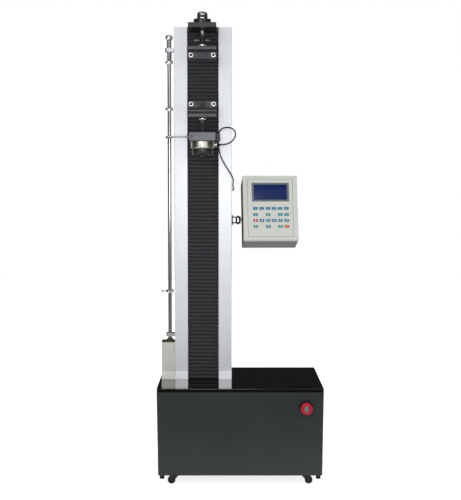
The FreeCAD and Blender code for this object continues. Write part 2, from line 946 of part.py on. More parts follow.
def drive_bracket():
    """A shelf under the top plate, hung between two cheeks, with the motor below it."""
    body = new_body("drive_bracket")
    half = "(motor_square / 2 + 15)"
    cheek = f"({half} - 6)"
    shape = outline(
        sketch_on(body, "YZ_Plane", f"motor_x - {half}"),
        [
            (f"screw_y - {half}", "shelf_top - shelf_thick"),
            (f"screw_y + {half}", "shelf_top - shelf_thick"),
            (f"screw_y + {half}", "cabinet_top"),
            (f"screw_y + {cheek}", "cabinet_top"),
            (f"screw_y + {cheek}", "shelf_top"),
            (f"screw_y - {cheek}", "shelf_top"),
            (f"screw_y - {cheek}", "cabinet_top"),
            (f"screw_y - {half}", "cabinet_top"),
        ],
    )
    pad(body, shape, f"2 * {half}")
    pocket(body, circle(sketch_on(body, "XY_Plane"), "motor_x", "screw_y", "9"))
    return node(body, "drive_bracket")


def motor():
    """Servo motor: square flange, ribbed body and round encoder cap."""
    body = new_body("motor")
    top = "(shelf_top - shelf_thick)"
    half = "motor_square / 2"
    square = (f"-{half}", half, f"-{half}", half)
    flange = rectangle(sketch_on(body, "XY_Plane", f"{top} - 8"), *square)
    pad(body, flange, "8")
    slim = (f"-{half} + 4", f"{half} - 4", f"-{half} + 4", f"{half} - 4")
    pad(body, rectangle(sketch_on(body, "XY_Plane", f"{top} - 8 - motor_long"), *slim), "motor_long")
    cap = circle(sketch_on(body, "XY_Plane", f"{top} - 30 - motor_long"), "0", "0", f"{half} - 8")
    pad(body, cap, "22")
    bore = circle(sketch_on(body, "XY_Plane", top), "0", "0", "7 + running_gap")
    pocket(body, bore, "13")
    return node(move(body, "motor_x", "screw_y"), "motor")


def drive_unit():
    """Motor amplifier on the cabinet's floor, with cooling fins."""
    body = new_body("drive_unit")
    floor = "floor_gap + sheet_wall"
    right = "(drive_left + drive_wide)"
    shape = rectangle(
        sketch_on(body, "XY_Plane", floor), "drive_left", right, "drive_front", "drive_front + drive_deep"
    )
    pad(body, shape, "drive_high")
    gap = rectangle(
        sketch_on(body, "XY_Plane", f"{floor} + drive_high"),
        f"{right} - 5",
        f"{right} + 5",
        "drive_front + 10",
        "drive_front + 16",
    )
    first = pocket(body, gap, "drive_high")
    pattern(body, first, "LinearPattern", (gap, ["V_Axis"]), "drive_deep - 28", "12")
    return node(body, "drive_unit")


# Crosshead

def crosshead_arm():
    """Thick plate from the carriage through the slot, with a lug that holds the sensor cable."""
    body = new_body("crosshead_arm")
    left = "column_x - arm_wide / 2"
    right = "column_x + arm_wide / 2"
    shape = outline(
        sketch_on(body, "XY_Plane", "arm_level"),
        [
            (left, "bracket_front"),
            (right, "bracket_front"),
            (right, "clip_y - 7"),
            ("clip_x + 6", "clip_y - 7"),
            ("clip_x + 6", "clip_y + 4"),
            (right, "clip_y + 4"),
            (right, "carriage_front"),
            (left, "carriage_front"),
        ],
    )
    pad(body, shape, "arm_thick")
    pocket(body, circle(sketch_on(body, "XY_Plane"), "column_x", "axis_y", "spindle_radius + 1"))
    pocket(body, circle(sketch_on(body, "XY_Plane"), "clip_x", "clip_y", "clip_bore"))
    nose = lambda edge: (
        along(edge, UP)
        and edge.Vertexes[0].Y < read("bracket_front") + 0.01
    )
    round_edges(body, "2", nose)
    return node(body, "crosshead_arm")


def carriage():
    """Block that runs on the two guide rods and holds the nut of the screw."""
    body = new_body("carriage")
    shape = sketch_on(body, "XY_Plane", "carriage_low")
    rectangle(shape, "column_x - 46", "column_x + 46", "carriage_front", "carriage_front + carriage_deep")
    circle(shape, "column_x", "screw_y", "nut_body_radius + 0.1")
    for side in ("-", "+"):
        circle(shape, f"column_x {side} rod_spacing / 2", "screw_y", "rod_radius + running_gap")
    pad(body, shape, "carriage_high")
    return node(body, "carriage")


def ball_nut():
    """Flanged nut, pushed up into the carriage."""
    body = turned(
        "ball_nut",
        [
            ("screw_radius + running_gap", "-10"),
            ("nut_body_radius + nut_flange_wide", "-10"),
            ("nut_body_radius + nut_flange_wide", "0"),
            ("nut_body_radius", "0"),
            ("nut_body_radius", "40"),
            ("screw_radius + running_gap", "40"),
        ],
    )
    return node(move(body, "column_x", "screw_y", "carriage_low"), "ball_nut")


def load_cell():
    """Pancake force sensor on its base disc, hung under the arm, with a boss for its plug."""
    low = "(0 - cell_high - cell_base_high)"
    body = turned(
        "load_cell",
        [
            ("0", f"{low} - 6"),
            ("11", f"{low} - 6"),
            ("11", low),
            ("cell_radius - 6", low),
            ("cell_radius - 4", f"{low} + 2"),
            ("cell_radius - 4", "0 - cell_high"),
            ("cell_radius", "0 - cell_high + 1"),
            ("cell_radius", "-1"),
            ("cell_radius - 1", "0"),
            ("0", "0"),
        ],
    )
    boss = circle(sketch_on(body, "YZ_Plane", "cell_radius - 6"), "0", "0 - cell_high / 2", "7")
    pad(body, boss, "10")
    return node(move(body, "column_x", "axis_y", "arm_level"), "load_cell")


def cable_plug():
    """Round connector that screws on the sensor's boss and tapers to the cable."""
    body = turned(
        "cable_plug",
        [
            ("0", "0"),
            ("8", "0"),
            ("8", "9"),
            ("6", "10"),
            ("4.5", "16"),
            ("0", "16"),
        ],
    )
    turn = Rotation(AWAY, 90)
    move(body, "column_x + cell_radius + 4", "axis_y", "arm_level - cell_high / 2", turn)
    return node(body, "cable_plug")


def trip_arm():
    """Flat strip from the arm, round the column's front, to a ring round the limit rod."""
    body = new_body("trip_arm")
    front = "(column_front - 7)"
    strip = rectangle(
        sketch_on(body, "XY_Plane", "trip_level - 4"),
        "limit_x - 5",
        "column_x - arm_wide / 2",
        front,
        f"{front} + 3",
    )
    pad(body, strip, "8")
    shank = rectangle(
        sketch_on(body, "XY_Plane", "trip_level - 4"), "limit_x - 5", "limit_x + 5", front, "limit_y"
    )
    pad(body, shank, "8")
    ring = circle(sketch_on(body, "XY_Plane", "trip_level - 4"), "limit_x", "limit_y", "collar_radius - 1")
    pad(body, ring, "8")
    pocket(body, circle(sketch_on(body, "XY_Plane"), "limit_x", "limit_y", "limit_radius + 1.5"))
    return node(body, "trip_arm")


# Grips and spindles

def grip_yoke(label, plate_low, plate_high, bar_low, bar_high, ledge=None):
    """A crossbar and the fixed clamping plate behind the specimen, in one piece."""
    body = new_body(label)
    back = "plate_front + plate_thick"
    nose = "jaw_front - yoke_nose"
    if ledge is None:
        corners = [
            ("plate_front", plate_low),
            (back, plate_low),
            (back, bar_high),
            (nose, bar_high),
            (nose, bar_low),
            ("plate_front", bar_low),
        ]
    else:
        corners = [
            ("plate_front", plate_high),
            ("plate_front", f"{ledge} + 5"),
            ("jaw_front", f"{ledge} + 5"),
            ("jaw_front", ledge),
            ("plate_front", ledge),
            ("plate_front", bar_high),
            (nose, bar_high),
            (nose, bar_low),
            (back, bar_low),
            (back, plate_high),
        ]
    shape = outline(sketch_on(body, "YZ_Plane", "column_x"), corners)
    pad(body, shape, "grip_wide", both=True)
    holes = sketch_on(body, "XZ_Plane")
    middle = f"({plate_low} + jaw_high / 2)" if ledge is None else "(lower_jaw_level + jaw_high / 2)"
    for side in ("-", "+"):
        circle(holes, f"column_x {side} clamp_spacing / 2", middle, "clamp_radius + running_gap")
    pocket(body, holes)
    return node(body, label)


def jaw(label, level):
    """The loose clamping plate in front of the specimen."""
    body = new_body(label)
    left = "column_x - grip_wide / 2"
    right = "column_x + grip_wide / 2"
    shape = rectangle(sketch_on(body, "XY_Plane", level), left, right, "jaw_front", "plate_front - grip_gap")
    pad(body, shape, "jaw_high")
    holes = sketch_on(body, "XZ_Plane")
    middle = f"{level} + jaw_high / 2"
    for side in ("-", "+"):
        circle(holes, f"column_x {side} clamp_spacing / 2", middle, "clamp_radius + loose_gap")
    pocket(body, holes)
    front = lambda edge: (
        along(edge, RIGHT)
        and edge.Vertexes[0].Y < read("jaw_front") + 0.01
    )
    round_edges(body, "1.5", front)
    return node(body, label)


def clamp_screw(label, side, level):
    """Socket-head screw through the loose plate into the fixed one."""
    body = turned(
        label,
        [
            ("0", "0 - jaw_thick - grip_gap - plate_thick + 1"),
            ("clamp_radius", "0 - jaw_thick - grip_gap - plate_thick + 1"),
            ("clamp_radius", "0.2"),
            ("clamp_head_radius", "0.2"),
            ("clamp_head_radius", "clamp_head_high - 1"),
            ("clamp_head_radius - 1", "clamp_head_high"),
            ("0", "clamp_head_high"),
        ],
    )
    socket = outline(sketch_on(body, "XY_Plane", "clamp_head_high"), hexagon("8"))
    pocket(body, socket, "6")
    move(body, f"column_x {side} clamp_spacing / 2", "jaw_front", f"{level} + jaw_high / 2", FORWARD)
    return node(body, label)


def hexagon(across):
    """Corners of a hexagon whose flats are this far apart."""
    reach = f"({across}) / 2 / cos(30)"
    return [(f"{reach} * cos({60 * i})", f"{reach} * sin({60 * i})") for i in range(6)]


def upper_spindle():
    """Stud that hangs the upper grip: domed head, lock nuts, wing nut and collar nut."""
    wings = "(upper_yoke_low + yoke_thick)"
    body = turned(
        "upper_spindle",
        [
            ("0", wings),
            ("nut_radius", wings),
            ("nut_radius", f"{wings} + nut_high - 2"),
            ("nut_radius - 3", f"{wings} + nut_high"),
            ("spindle_radius", f"{wings} + nut_high"),
            ("spindle_radius", f"{wings} + 14"),
            ("8", f"{wings} + 14"),
            ("8", f"{wings} + 28"),
            ("spindle_radius", f"{wings} + 28"),
            ("spindle_radius", "bracket_level - 20"),
            ("9", "bracket_level - 20"),
            ("9", "bracket_level - 13"),
            ("6.5", "bracket_level - 11"),
            ("6.5", "bracket_level"),
            ("spindle_radius", "bracket_level"),
            ("spindle_radius", "column_top + boss_high"),
            ("hex_across / 2", "column_top + boss_high"),
            ("hex_across / 2 + 2", "column_top + boss_high + 2"),
            ("hex_across / 2 - 2", "column_top + boss_high + hex_high - 3"),
            ("hex_across / 2 - 6", "column_top + boss_high + hex_high"),
            ("0", "column_top + boss_high + hex_high"),
        ],
    )
    head = outline(sketch_on(body, "XY_Plane", "column_top + boss_high + 4"), hexagon("hex_across"))
    pad(body, head, "hex_high - 10")
    blade = rectangle(
        sketch_on(body, "XZ_Plane"), "-boss_radius", "boss_radius", f"{wings} + 16", f"{wings} + 26"
    )
    pad(body, blade, "4", both=True)
    return node(move(body, "column_x", "axis_y"), "upper_spindle")


def lower_spindle():
    """Stud from the sensor up through the arm, with the nut under the lower grip."""
    top = "(lower_yoke_top - yoke_thick)"
    body = turned(
        "lower_spindle",
        [
            ("0", "arm_level"),
            ("spindle_radius", "arm_level"),
            ("spindle_radius", f"{top} - nut_high - 8"),
            ("7", f"{top} - nut_high - 6"),
            ("7", f"{top} - nut_high"),
            ("nut_radius - 3", f"{top} - nut_high"),
            ("nut_radius", f"{top} - nut_high + 2"),
            ("nut_radius", top),
            ("0", top),
        ],
    )
    return node(move(body, "column_x", "axis_y"), "lower_spindle")


# Limit rod

def switch_box():
    """Painted cover over the limit switches at the foot of the column, open underneath."""
    body = new_body("limit_switch_box")
    left = "column_left - switch_box_wide"
    back = "column_front + switch_box_deep"
    shape = rectangle(sketch_on(body, "XY_Plane", "plate_top"), left, "column_left", "column_front", back)
    pad(body, shape, "switch_box_high")
    free = lambda edge: along(edge, UP) or edge.BoundBox.ZMin > read("switch_box_top") - 0.01
    round_edges(body, "2.5", free)
    wall = "sheet_wall"
    hollow = rectangle(
        sketch_on(body, "XY_Plane", "plate_top"),
        f"{left} + {wall}",
        f"column_left - {wall}",
        f"column_front + {wall}",
        f"{back} - {wall}",
    )
    pocket(body, hollow, f"switch_box_high - {wall}", back=True)
    pocket(body, circle(sketch_on(body, "XY_Plane"), "limit_x", "limit_y", "limit_radius + 2"))
    return node(body, "limit_switch_box")


def rod_gland():
    """Bush on the box's lid that guides the lower end of the rod."""
    body = turned(
        "rod_gland",
        [
            ("limit_radius + running_gap", "0"),
            ("13", "0"),
            ("13", "4"),
            ("10", "6"),
            ("10", "11"),
            ("limit_radius + running_gap", "11"),
        ],
    )
    return node(move(body, "limit_x", "limit_y", "switch_box_top"), "rod_gland")


def limit_switches():
    """Two snap switches on the box's inner wall, above and below the rod's striker."""
    left = "limit_x - 10"
    right = "column_left - sheet_wall"
    parts = []
    for low in ("striker_level + 10", "striker_level - 24"):
        case = block("limit_switch", left, right, "limit_y + 12", "limit_y + 24", low, f"{low} + 20")
        parts.append(case)
    return group("limit_switches", *parts)


def rod_guides():
    """Two bars from the column's side that guide the rod."""
    parts = []
    for level in ("upper_guide_level", "lower_guide_level"):
        body = new_body("rod_guide")
        shape = sketch_on(body, "XY_Plane", level)
        outline(
            shape,
            [
                ("column_left", "limit_y - 12"),
                ("column_left", "limit_y + 12"),
                ("limit_x - 8", "limit_y + 12"),
                ("limit_x - 13", "limit_y + 7"),
                ("limit_x - 13", "limit_y - 7"),
                ("limit_x - 8", "limit_y - 12"),
            ],
        )
        circle(shape, "limit_x", "limit_y", "limit_radius + running_gap")
        pad(body, shape, "guide_high")
        parts.append(body)
    return group("rod_guide_brackets", *parts)


def limit_rod():
    """Polished rod from the striker in the box to above the upper guide."""
    body = turned(
        "limit_rod",
        [
            ("0", "striker_level - 2"),
            ("9", "striker_level - 2"),
            ("9", "striker_level + 2"),
            ("limit_radius", "striker_level + 2"),
            ("limit_radius", "upper_guide_top + spring_high + 14"),
            ("limit_radius - 1", "upper_guide_top + spring_high + 15"),
            ("0", "upper_guide_top + spring_high + 15"),
        ],
    )
    return node(move(body, "limit_x", "limit_y"), "limit_rod")


def stop_collars():
    """Spring retainers above and below the upper guide, and the two travel stops."""
    inner = "limit_radius + 0.02"
    cap = turned(
        "rod_nut",
        [
            (inner, "loose_gap"),
            ("9", "loose_gap"),
            ("12", "3"),
            ("12", "11"),
            ("9", "14"),
            (inner, "14"),
        ],
    )
    move(cap, "limit_x", "limit_y", "upper_guide_top + spring_high")
    parts = [cap]
    levels = (
        "upper_guide_level - spring_high - collar_high - loose_gap",
        "upper_stop_low",
        "lower_stop_top - collar_high",
    )
    for level in levels:
        collar = turned(
            "stop_collar",
            [
                (inner, "0"),
                ("collar_radius - 4", "0"),
                ("collar_radius", "3"),
                ("collar_radius", "collar_high - 3"),
                ("collar_radius - 2", "collar_high"),
                (inner, "collar_high"),
            ],
        )
        parts.append(move(collar, "limit_x", "limit_y", level))
    thumb = turned(
        "thumb_screw",
        [("0", "0"), ("2.5", "0"), ("2.5", "8"), ("5", "8"), ("5", "16"), ("0", "16")],
    )
    move(thumb, "limit_x - collar_radius", "limit_y", "lower_stop_top - collar_high / 2", Rotation(AWAY, -90))
    parts.append(thumb)
    return group("stop_collars", *parts)


def centring_springs():
    """Two coil springs that hold the rod between its stops."""
    wire = read("spring_wire") / 2
    radius = read("limit_radius") + read("loose_gap") + wire + 0.4
    clear = read("loose_gap")
    high = read("spring_high")
    turns = 5
    free = high - 2 * wire - 2 * clear
    helix = Part.makeHelix(free / turns, free, radius)
    corners = [
        Vector(radius + wire * math.cos(math.pi * k / 3), 0, wire * math.sin(math.pi * k / 3))
        for k in range(6)
    ]
    section = Part.makePolygon(corners + corners[:1])
    coil = Part.Wire(helix.Edges).makePipeShell([section], True, True)
    parts = []
    for level in ("upper_guide_top", "upper_guide_level - spring_high"):
        spring = doc.addObject("Part::Feature", "centring_spring")
        spring.Shape = coil
        move(spring, "limit_x", "limit_y", f"{level} + spring_wire / 2 + loose_gap")
        parts.append(spring)
    return group("centring_springs", *parts)


# Controller on its swivel arm

def panel_turn():
    yaw = Rotation(UP, read("case_yaw"))
    tilt = Rotation(RIGHT, -read("case_tilt"))
    return yaw.multiply(tilt)


def on_panel(thing):
    """Places a piece that is drawn in the case's own frame: X right, Y inwards, Z up the face."""
    return move(thing, "case_x", "case_y", "case_z", panel_turn())


def panel_bracket():
    """Flange on the column's side with two ears and the upright hinge pin between them."""
    body = new_body("panel_bracket")
    flange = rectangle(
        sketch_on(body, "YZ_Plane", "column_right"), "pin_y - 15", "pin_y + 15", "pin_z - 17", "pin_z + 17"
    )
    pad(body, flange, "4")
    for low in ("pin_z - knuckle_half - loose_gap - ear_thick", "pin_z + knuckle_half + loose_gap"):
        ear = sketch_on(body, "XY_Plane", low)
        rectangle(ear, "column_right + 2", "pin_x", "pin_y - 9", "pin_y + 9")
        pad(body, ear, "ear_thick")
        pad(body, circle(sketch_on(body, "XY_Plane", low), "pin_x", "pin_y", "9"), "ear_thick")
    reach = "(knuckle_half + loose_gap + ear_thick + 3)"
    pin = circle(sketch_on(body, "XY_Plane", f"pin_z - {reach}"), "pin_x", "pin_y", "pin_radius")
    pad(body, pin, f"2 * {reach}")
    return node(body, "panel_bracket")


def swivel_knuckle():
    """Barrel on the upright pin, with the level rod that the case tilts on."""
    body = new_body("swivel_knuckle")
    rod = circle(sketch_on(body, "YZ_Plane"), "0", "0", "hinge_radius")
    pad(body, rod, "rod_end + pin_inset")
    barrel = circle(sketch_on(body, "XY_Plane", "-knuckle_half"), "0", "0", "8.5")
    pad(body, barrel, "2 * knuckle_half")
    pocket(body, circle(sketch_on(body, "XY_Plane"), "0", "0", "pin_radius + running_gap"))
    move(body, "pin_x", "pin_y", "pin_z", Rotation(UP, read("case_yaw")))
    return node(body, "swivel_knuckle")


def case_back():
    """Deep tray of the controller with two lugs round the tilt rod."""
    body = new_body("case_back")
    shape = rectangle(sketch_on(body, "XZ_Plane", "-case_deep"), "0", "case_wide", "0", "case_high")
    pad(body, shape, "case_deep - lid_deep")
    corner = lambda edge: along(edge, AWAY)
    round_edges(body, "3", corner)
    hollow = rectangle(
        sketch_on(body, "XZ_Plane", "-case_deep + case_wall"),
        "case_wall",
        "case_wide - case_wall",
        "case_wall",
        "case_high - case_wall",
    )
    pocket(body, hollow, "case_deep", back=True)
    for left in ("lug_left", "lug_right"):
        web = rectangle(
            sketch_on(body, "YZ_Plane", left), "case_deep - 1", "hinge_y", "hinge_up - 11", "hinge_up + 11"
        )
        pad(body, web, "lug_wide")
        pad(body, circle(sketch_on(body, "YZ_Plane", left), "hinge_y", "hinge_up", "11"), "lug_wide")
        bore = circle(sketch_on(body, "YZ_Plane", left), "hinge_y", "hinge_up", "hinge_radius + running_gap")
        pocket(body, bore, "lug_wide", back=True)
    return node(on_panel(body), "case_back")


def case_front():
    """Lid with a shallow recess for the keypad and a window for the screen."""
    body = new_body("case_front")
    shape = rectangle(sketch_on(body, "XZ_Plane", "-lid_deep"), "0", "case_wide", "0", "case_high")
    pad(body, shape, "lid_deep")
    round_edges(body, "3", lambda edge: along(edge, AWAY))
    rim = lambda edge: edge.BoundBox.YMax < 0.01 and edge.Length > 50
    round_edges(body, "1.5", rim)
    hollow = rectangle(
        sketch_on(body, "XZ_Plane", "-lid_deep"),
        "case_wall",
        "case_wide - case_wall",
        "case_wall",
        "case_high - case_wall",
    )
    pocket(body, hollow, "lid_deep - case_wall - 1", back=True)
    recess = rectangle(
        sketch_on(body, "XZ_Plane"),
        "frame_inset",
        "case_wide - frame_inset",
        "frame_inset - 3",
        "case_high - frame_inset + 3",
    )
    pocket(body, recess, "1")
    window = rectangle(
        sketch_on(body, "XZ_Plane"),
        "screen_left - 0.2",
        "screen_left + screen_wide + 0.2",
        "screen_low - 0.2",
        "screen_low + screen_high + 0.2",
    )
    pocket(body, window)
    return node(on_panel(body), "case_front")


def keypad_overlay():
    """Thin printed sheet in the lid's recess, with the window of the screen."""
    body = new_body("keypad_overlay")
    shape = sketch_on(body, "XZ_Plane", "-1")
    rectangle(
        shape,
        "frame_inset + 0.2",
        "case_wide - frame_inset - 0.2",
        "frame_inset - 2.8",
        "case_high - frame_inset + 2.8",
    )
    rectangle(
        shape,
        "screen_left - 0.2",
        "screen_left + screen_wide + 0.2",
        "screen_low - 0.2",
        "screen_low + screen_high + 0.2",
    )
    pad(body, shape, "0.7")
    return node(on_panel(body), "keypad_overlay")


def lcd_module():
    """Screen in its metal bezel, held behind the lid by a wider board."""
    body = new_body("lcd_module")
    frame = rectangle(
        sketch_on(body, "XZ_Plane", "-case_wall - 1"),
        "screen_left",
        "screen_left + screen_wide",
        "screen_low",
        "screen_low + screen_high",
    )
    pad(body, frame, "case_wall + 0.5")
    board = rectangle(
        sketch_on(body, "XZ_Plane", "-case_wall - 7"),
        "screen_left - 5",
        "screen_left + screen_wide + 5",
        "screen_low - 5",
        "screen_low + screen_high + 5",
    )
    pad(body, board, "6")
    glass = rectangle(
        sketch_on(body, "XZ_Plane", "-0.5"),
        "screen_left + 7",
        "screen_left + screen_wide - 7",
        "screen_low + 6",
        "screen_low + screen_high - 6",
    )
    pocket(body, glass, "1")
    return node(on_panel(body), "lcd_module")


# Sensor cable

def cable_grommet():
    """Side-entry block on the column's back cover, where the cable goes in."""
    body = new_body("cable_grommet")
    left = "gland_x - 9"
    right = "gland_x + 9"
    shape = rectangle(
        sketch_on(body, "XY_Plane", "gland_z - 9"), left, right, "column_back", "column_back + gland_deep"
    )
    pad(body, shape, "18")
    nose = circle(sketch_on(body, "YZ_Plane", right), "column_back + gland_deep / 2", "gland_z", "6")
    pad(body, nose, "5")
    return node(body, "cable_grommet")


def rounded_path(points):
    """Straight runs joined by arcs that are as large as the runs allow, and those arcs' radii."""
    edges = []
    radii = []
    last = points[0]
    for before, here, after in zip(points, points[1:], points[2:]):
        into = (here - before).normalize()
        out = (after - here).normalize()
        turn = into.getAngle(out)
        shorter = min((here - before).Length, (after - here).Length)
        radius = 0.45 * shorter / math.tan(turn / 2)
        back = 0.45 * shorter
        start = here - into * back
        end = here + out * back
        inward = (out - into).normalize()
        middle = here + inward * (radius / math.cos(turn / 2) - radius)
        edges.append(Part.LineSegment(last, start).toShape())
        edges.append(Part.Arc(start, middle, end).toShape())
        radii.append(radius)
        last = end
    edges.append(Part.LineSegment(last, points[-1]).toShape())
    return Part.Wire(edges), radii


def cable_points():
    """The cable's route: a loop at the plug, down through the lug, round the column to its back."""
    plug_x = read("column_x") + read("cell_radius") + 20
    plug_end = Vector(plug_x, read("axis_y"), read("arm_level") - read("cell_high") / 2)
    gland = Vector(read("gland_x") + 14, read("column_back") + read("gland_deep") / 2, read("gland_z"))
    route = [
        (-64, -94, 1096),
        (-46, -94, 1096),
        (-25, -85, 1107),
        (-14.5, -74, 1124),
        (-15.5, -62, 1142),
        (-30, -52, 1154),
        (-51, -44, 1154.5),
        (-63.3, -40.2, 1147.8),
        (-70.8, -37.9, 1136),
        (-71.8, -37.2, 1121),
        (-71.4, -37.3, 1103),
        (-69.5, -37.5, 1082),
        (-64, -38, 1060),
        (-53, -38.3, 1038),
        (-40, -38.3, 1017),
        (-27.5, -37.5, 998),
        (-18.5, -27, 981),
        (-16, -6, 966),
        (-17, 22, 956),
        (-16.5, 52, 950),
        (-13.2, 82, 946),
        (-13.2, 98.7, 943.7),
        (-17.3, 108.6, 942.6),
        (-24.9, 116.1, 941.7),
        (-34.6, 119.9, 940.6),
        (-49.5, 119.5, 940),
    ]
    offset = plug_end - Vector(*route[0])
    return [Vector(*point) + offset for point in route] + [gland]


def load_cell_cable():
    path, radii = rounded_path(cable_points())
    radius = read("cable_radius")
    start = path.Edges[0].Vertexes[0].Point
    disc = Part.Wire(Part.makeCircle(radius, start, RIGHT))
    tube = path.makePipeShell([disc], True, False)
    print("cable length", round(path.Length, 1), "radii", [round(r, 1) for r in radii])
    wanted = math.pi * radius**2 * path.Length
    if abs(tube.Volume - wanted) > 0.02 * wanted:
        raise ValueError("the cable's tube has the wrong volume")
    cable = doc.addObject("Part::Feature", "load_cell_cable")
    cable.Shape = tube
    return node(cable, "load_cell_cable")


# Places that several pieces share
place("boss_high", "boss_radius / 2 + 1")
place("foot_x", "base_wide / 2 - foot_inset_x")
place("foot_y", "base_deep / 2 - foot_inset_y")
place("caster_x", "base_wide / 2 - caster_inset_x")
place("caster_y", "base_deep / 2 - caster_inset_y")
place("stop_x", "base_wide / 2 - stop_inset")
place("stop_z", "cabinet_top - stop_drop")
place("inlet_x", "base_wide / 2 - inlet_inset")
place("inlet_z", "floor_gap + inlet_up")
place("louvre_left", "louvre_inset - base_wide / 2")
place("drive_left", "drive_inset - base_wide / 2")
place("drive_front", "screw_y - 100")
place("lower_bearing_radius", "screw_radius * 2")
place("upper_bearing_radius", "screw_radius * 1.6")
place("clip_x", "column_x + arm_wide / 2 + 7.5")
place("clip_y", "column_front - 6.3")
place("striker_level", "plate_top + switch_box_high - 45")
place("lug_left", "case_wide / 2 - 56")
place("lug_right", "case_wide / 2 + 4")
place("rod_end", "lug_right + lug_wide + 4")
place("gland_x", "column_x + 44")
place("gland_z", "arm_level - gland_drop")
doc.recompute()

cabinet_shell()
rear_panel()
top_plate()
levelling_feet()
for depth, end in (("front", "-"), ("rear", "")):
    for width, side in (("left", "-"), ("right", "")):
        caster(f"{depth}_{width}", side, end)
power_inlet()
emergency_stop()
column_profiles()
column_back_cover()
top_bracket()
guide_rods()
screw_bearings()
bellows("lower_bellows", "plate_top", "arm_level")
bellows("upper_bellows", "arm_top", "bracket_level")
lead_screw()
screw_pulley()
motor_pulley()
timing_belt()
drive_bracket()
motor()
drive_unit()
crosshead_arm()
carriage()
ball_nut()
load_cell()
cable_plug()
trip_arm()
grip_yoke("upper_grip_yoke", "upper_jaw_level", None, "upper_yoke_low", "upper_yoke_low + yoke_thick")
grip_yoke(
    "lower_grip_yoke",
    None,
    "lower_jaw_level + jaw_high",
    "lower_yoke_top - yoke_thick",
    "lower_yoke_top",
    ledge="lower_jaw_level - 11.5",
)
for grip in ("upper", "lower"):
    level = f"{grip}_jaw_level"
    jaw(f"{grip}_jaw", level)
    clamp_screw(f"{grip}_left_screw", "-", level)
    clamp_screw(f"{grip}_right_screw", "+", level)
upper_spindle()
lower_spindle()
switch_box()
rod_gland()
limit_switches()
rod_guides()
limit_rod()
stop_collars()
centring_springs()
panel_bracket()
swivel_knuckle()
case_back()
case_front()
keypad_overlay()
lcd_module()
cable_grommet()
load_cell_cable()
doc.recompute()

for thing in doc.Objects:
    if "Invalid" in thing.State or "Error" in thing.State:
        raise ValueError(f"{thing.Label} failed: {thing.State}")
for thing in nodes:
    if thing.Shape.isNull() or not thing.Shape.isValid():
        raise ValueError(f"{thing.Label} has no valid shape")

os.makedirs("parts", exist_ok=True)
for thing in nodes:
    thing.Shape.exportStep(f"parts/{thing.Label}.step")
print(len(nodes), "nodes written")
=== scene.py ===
# %% [markdown]
# # A peel testing machine
# The machine pulls a strip off a plate and measures the force. A cabinet holds the drive, a column
# guides a crosshead behind folded bellows, and a controller hangs on an arm beside it. The solids
# come packed, in metres, with +Z up and the origin on the floor. This script dresses them.

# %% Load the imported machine
import math
from math import cos, pi, sin

import bmesh
import bpy
from mathutils import Matrix, Vector


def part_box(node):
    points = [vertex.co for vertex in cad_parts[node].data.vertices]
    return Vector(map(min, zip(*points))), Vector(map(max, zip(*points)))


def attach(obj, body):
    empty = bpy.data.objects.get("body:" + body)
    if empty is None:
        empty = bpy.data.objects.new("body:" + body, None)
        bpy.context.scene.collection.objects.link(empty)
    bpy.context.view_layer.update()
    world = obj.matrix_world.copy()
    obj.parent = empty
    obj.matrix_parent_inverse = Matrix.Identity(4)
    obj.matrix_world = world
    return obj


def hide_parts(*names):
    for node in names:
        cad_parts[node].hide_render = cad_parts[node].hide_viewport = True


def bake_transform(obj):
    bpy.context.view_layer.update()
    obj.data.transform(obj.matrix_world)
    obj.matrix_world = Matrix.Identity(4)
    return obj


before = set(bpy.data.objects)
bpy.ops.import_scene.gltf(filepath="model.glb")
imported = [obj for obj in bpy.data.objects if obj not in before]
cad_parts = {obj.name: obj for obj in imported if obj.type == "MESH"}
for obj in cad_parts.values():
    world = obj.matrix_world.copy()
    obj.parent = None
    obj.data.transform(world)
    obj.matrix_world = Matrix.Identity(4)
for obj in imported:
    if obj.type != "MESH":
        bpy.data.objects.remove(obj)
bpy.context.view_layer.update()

MM = 0.001
scene = bpy.context.scene

# %% [markdown]
# ## Camera
# The photograph was taken from a little right of the column's middle, about a metre above the
# floor, looking slightly down. A camera is placed by matching the edges of the base and the column,
# which gives the distance of 3.5 m and a long lens. A long lens far away keeps uprights parallel.

# %% Place the camera
SENSOR_WIDE = 36
LENS_LONG = 75.93
CAMERA_AT = (-0.0311, -3.5321, 0.9693)
LOOKS_DOWN = 3.59
camera_data = bpy.data.cameras.new("camera")
camera_data.sensor_width = SENSOR_WIDE
camera_data.lens = LENS_LONG
camera = bpy.data.objects.new("camera", camera_data)
camera.location = CAMERA_AT
camera.rotation_euler = (math.radians(90 - LOOKS_DOWN), 0, 0)
scene.collection.objects.link(camera)
scene.camera = camera
print("camera:", LENS_LONG, "mm lens,", LOOKS_DOWN, "degrees down")

# %% [markdown]
# ## The sensor's cable
# The force sensor's cable leaves a round plug, loops over beside the arm, drops through a lug and
# runs round the column to a gland at its back. A bendy cable takes smooth curves, so its line is a
# NURBS spline whose control points are listed. The tube is then built as a mesh along that line.
# Its middle spans between the moving crosshead and the fixed column.

# %% The cable's line
CABLE_RADIUS = 2.25 * MM
cable_route = [
    (-64, -94, 1096), (-46, -94, 1096), (-25, -85, 1107), (-14.5, -74, 1124),
    (-15.5, -62, 1142), (-30, -52, 1154), (-51, -44, 1154.5), (-63.3, -40.2, 1147.8),
    (-70.8, -37.9, 1136), (-71.8, -37.2, 1121), (-71.4, -37.3, 1103), (-69.5, -37.5, 1082),
    (-64, -38, 1060), (-53, -38.3, 1038), (-40, -38.3, 1017), (-27.5, -37.5, 998),
    (-21.5, -27, 984), (-22.8, -6, 972), (-23.2, 22, 963), (-22.5, 52, 957.5),
    (-20.3, 82, 953.5), (-19, 97, 951), (-20.6, 107.5, 949.5), (-26.5, 115.8, 947),
    (-35.8, 119.8, 944), (-49.5, 119.5, 941), (-64, 119.5, 940),
]


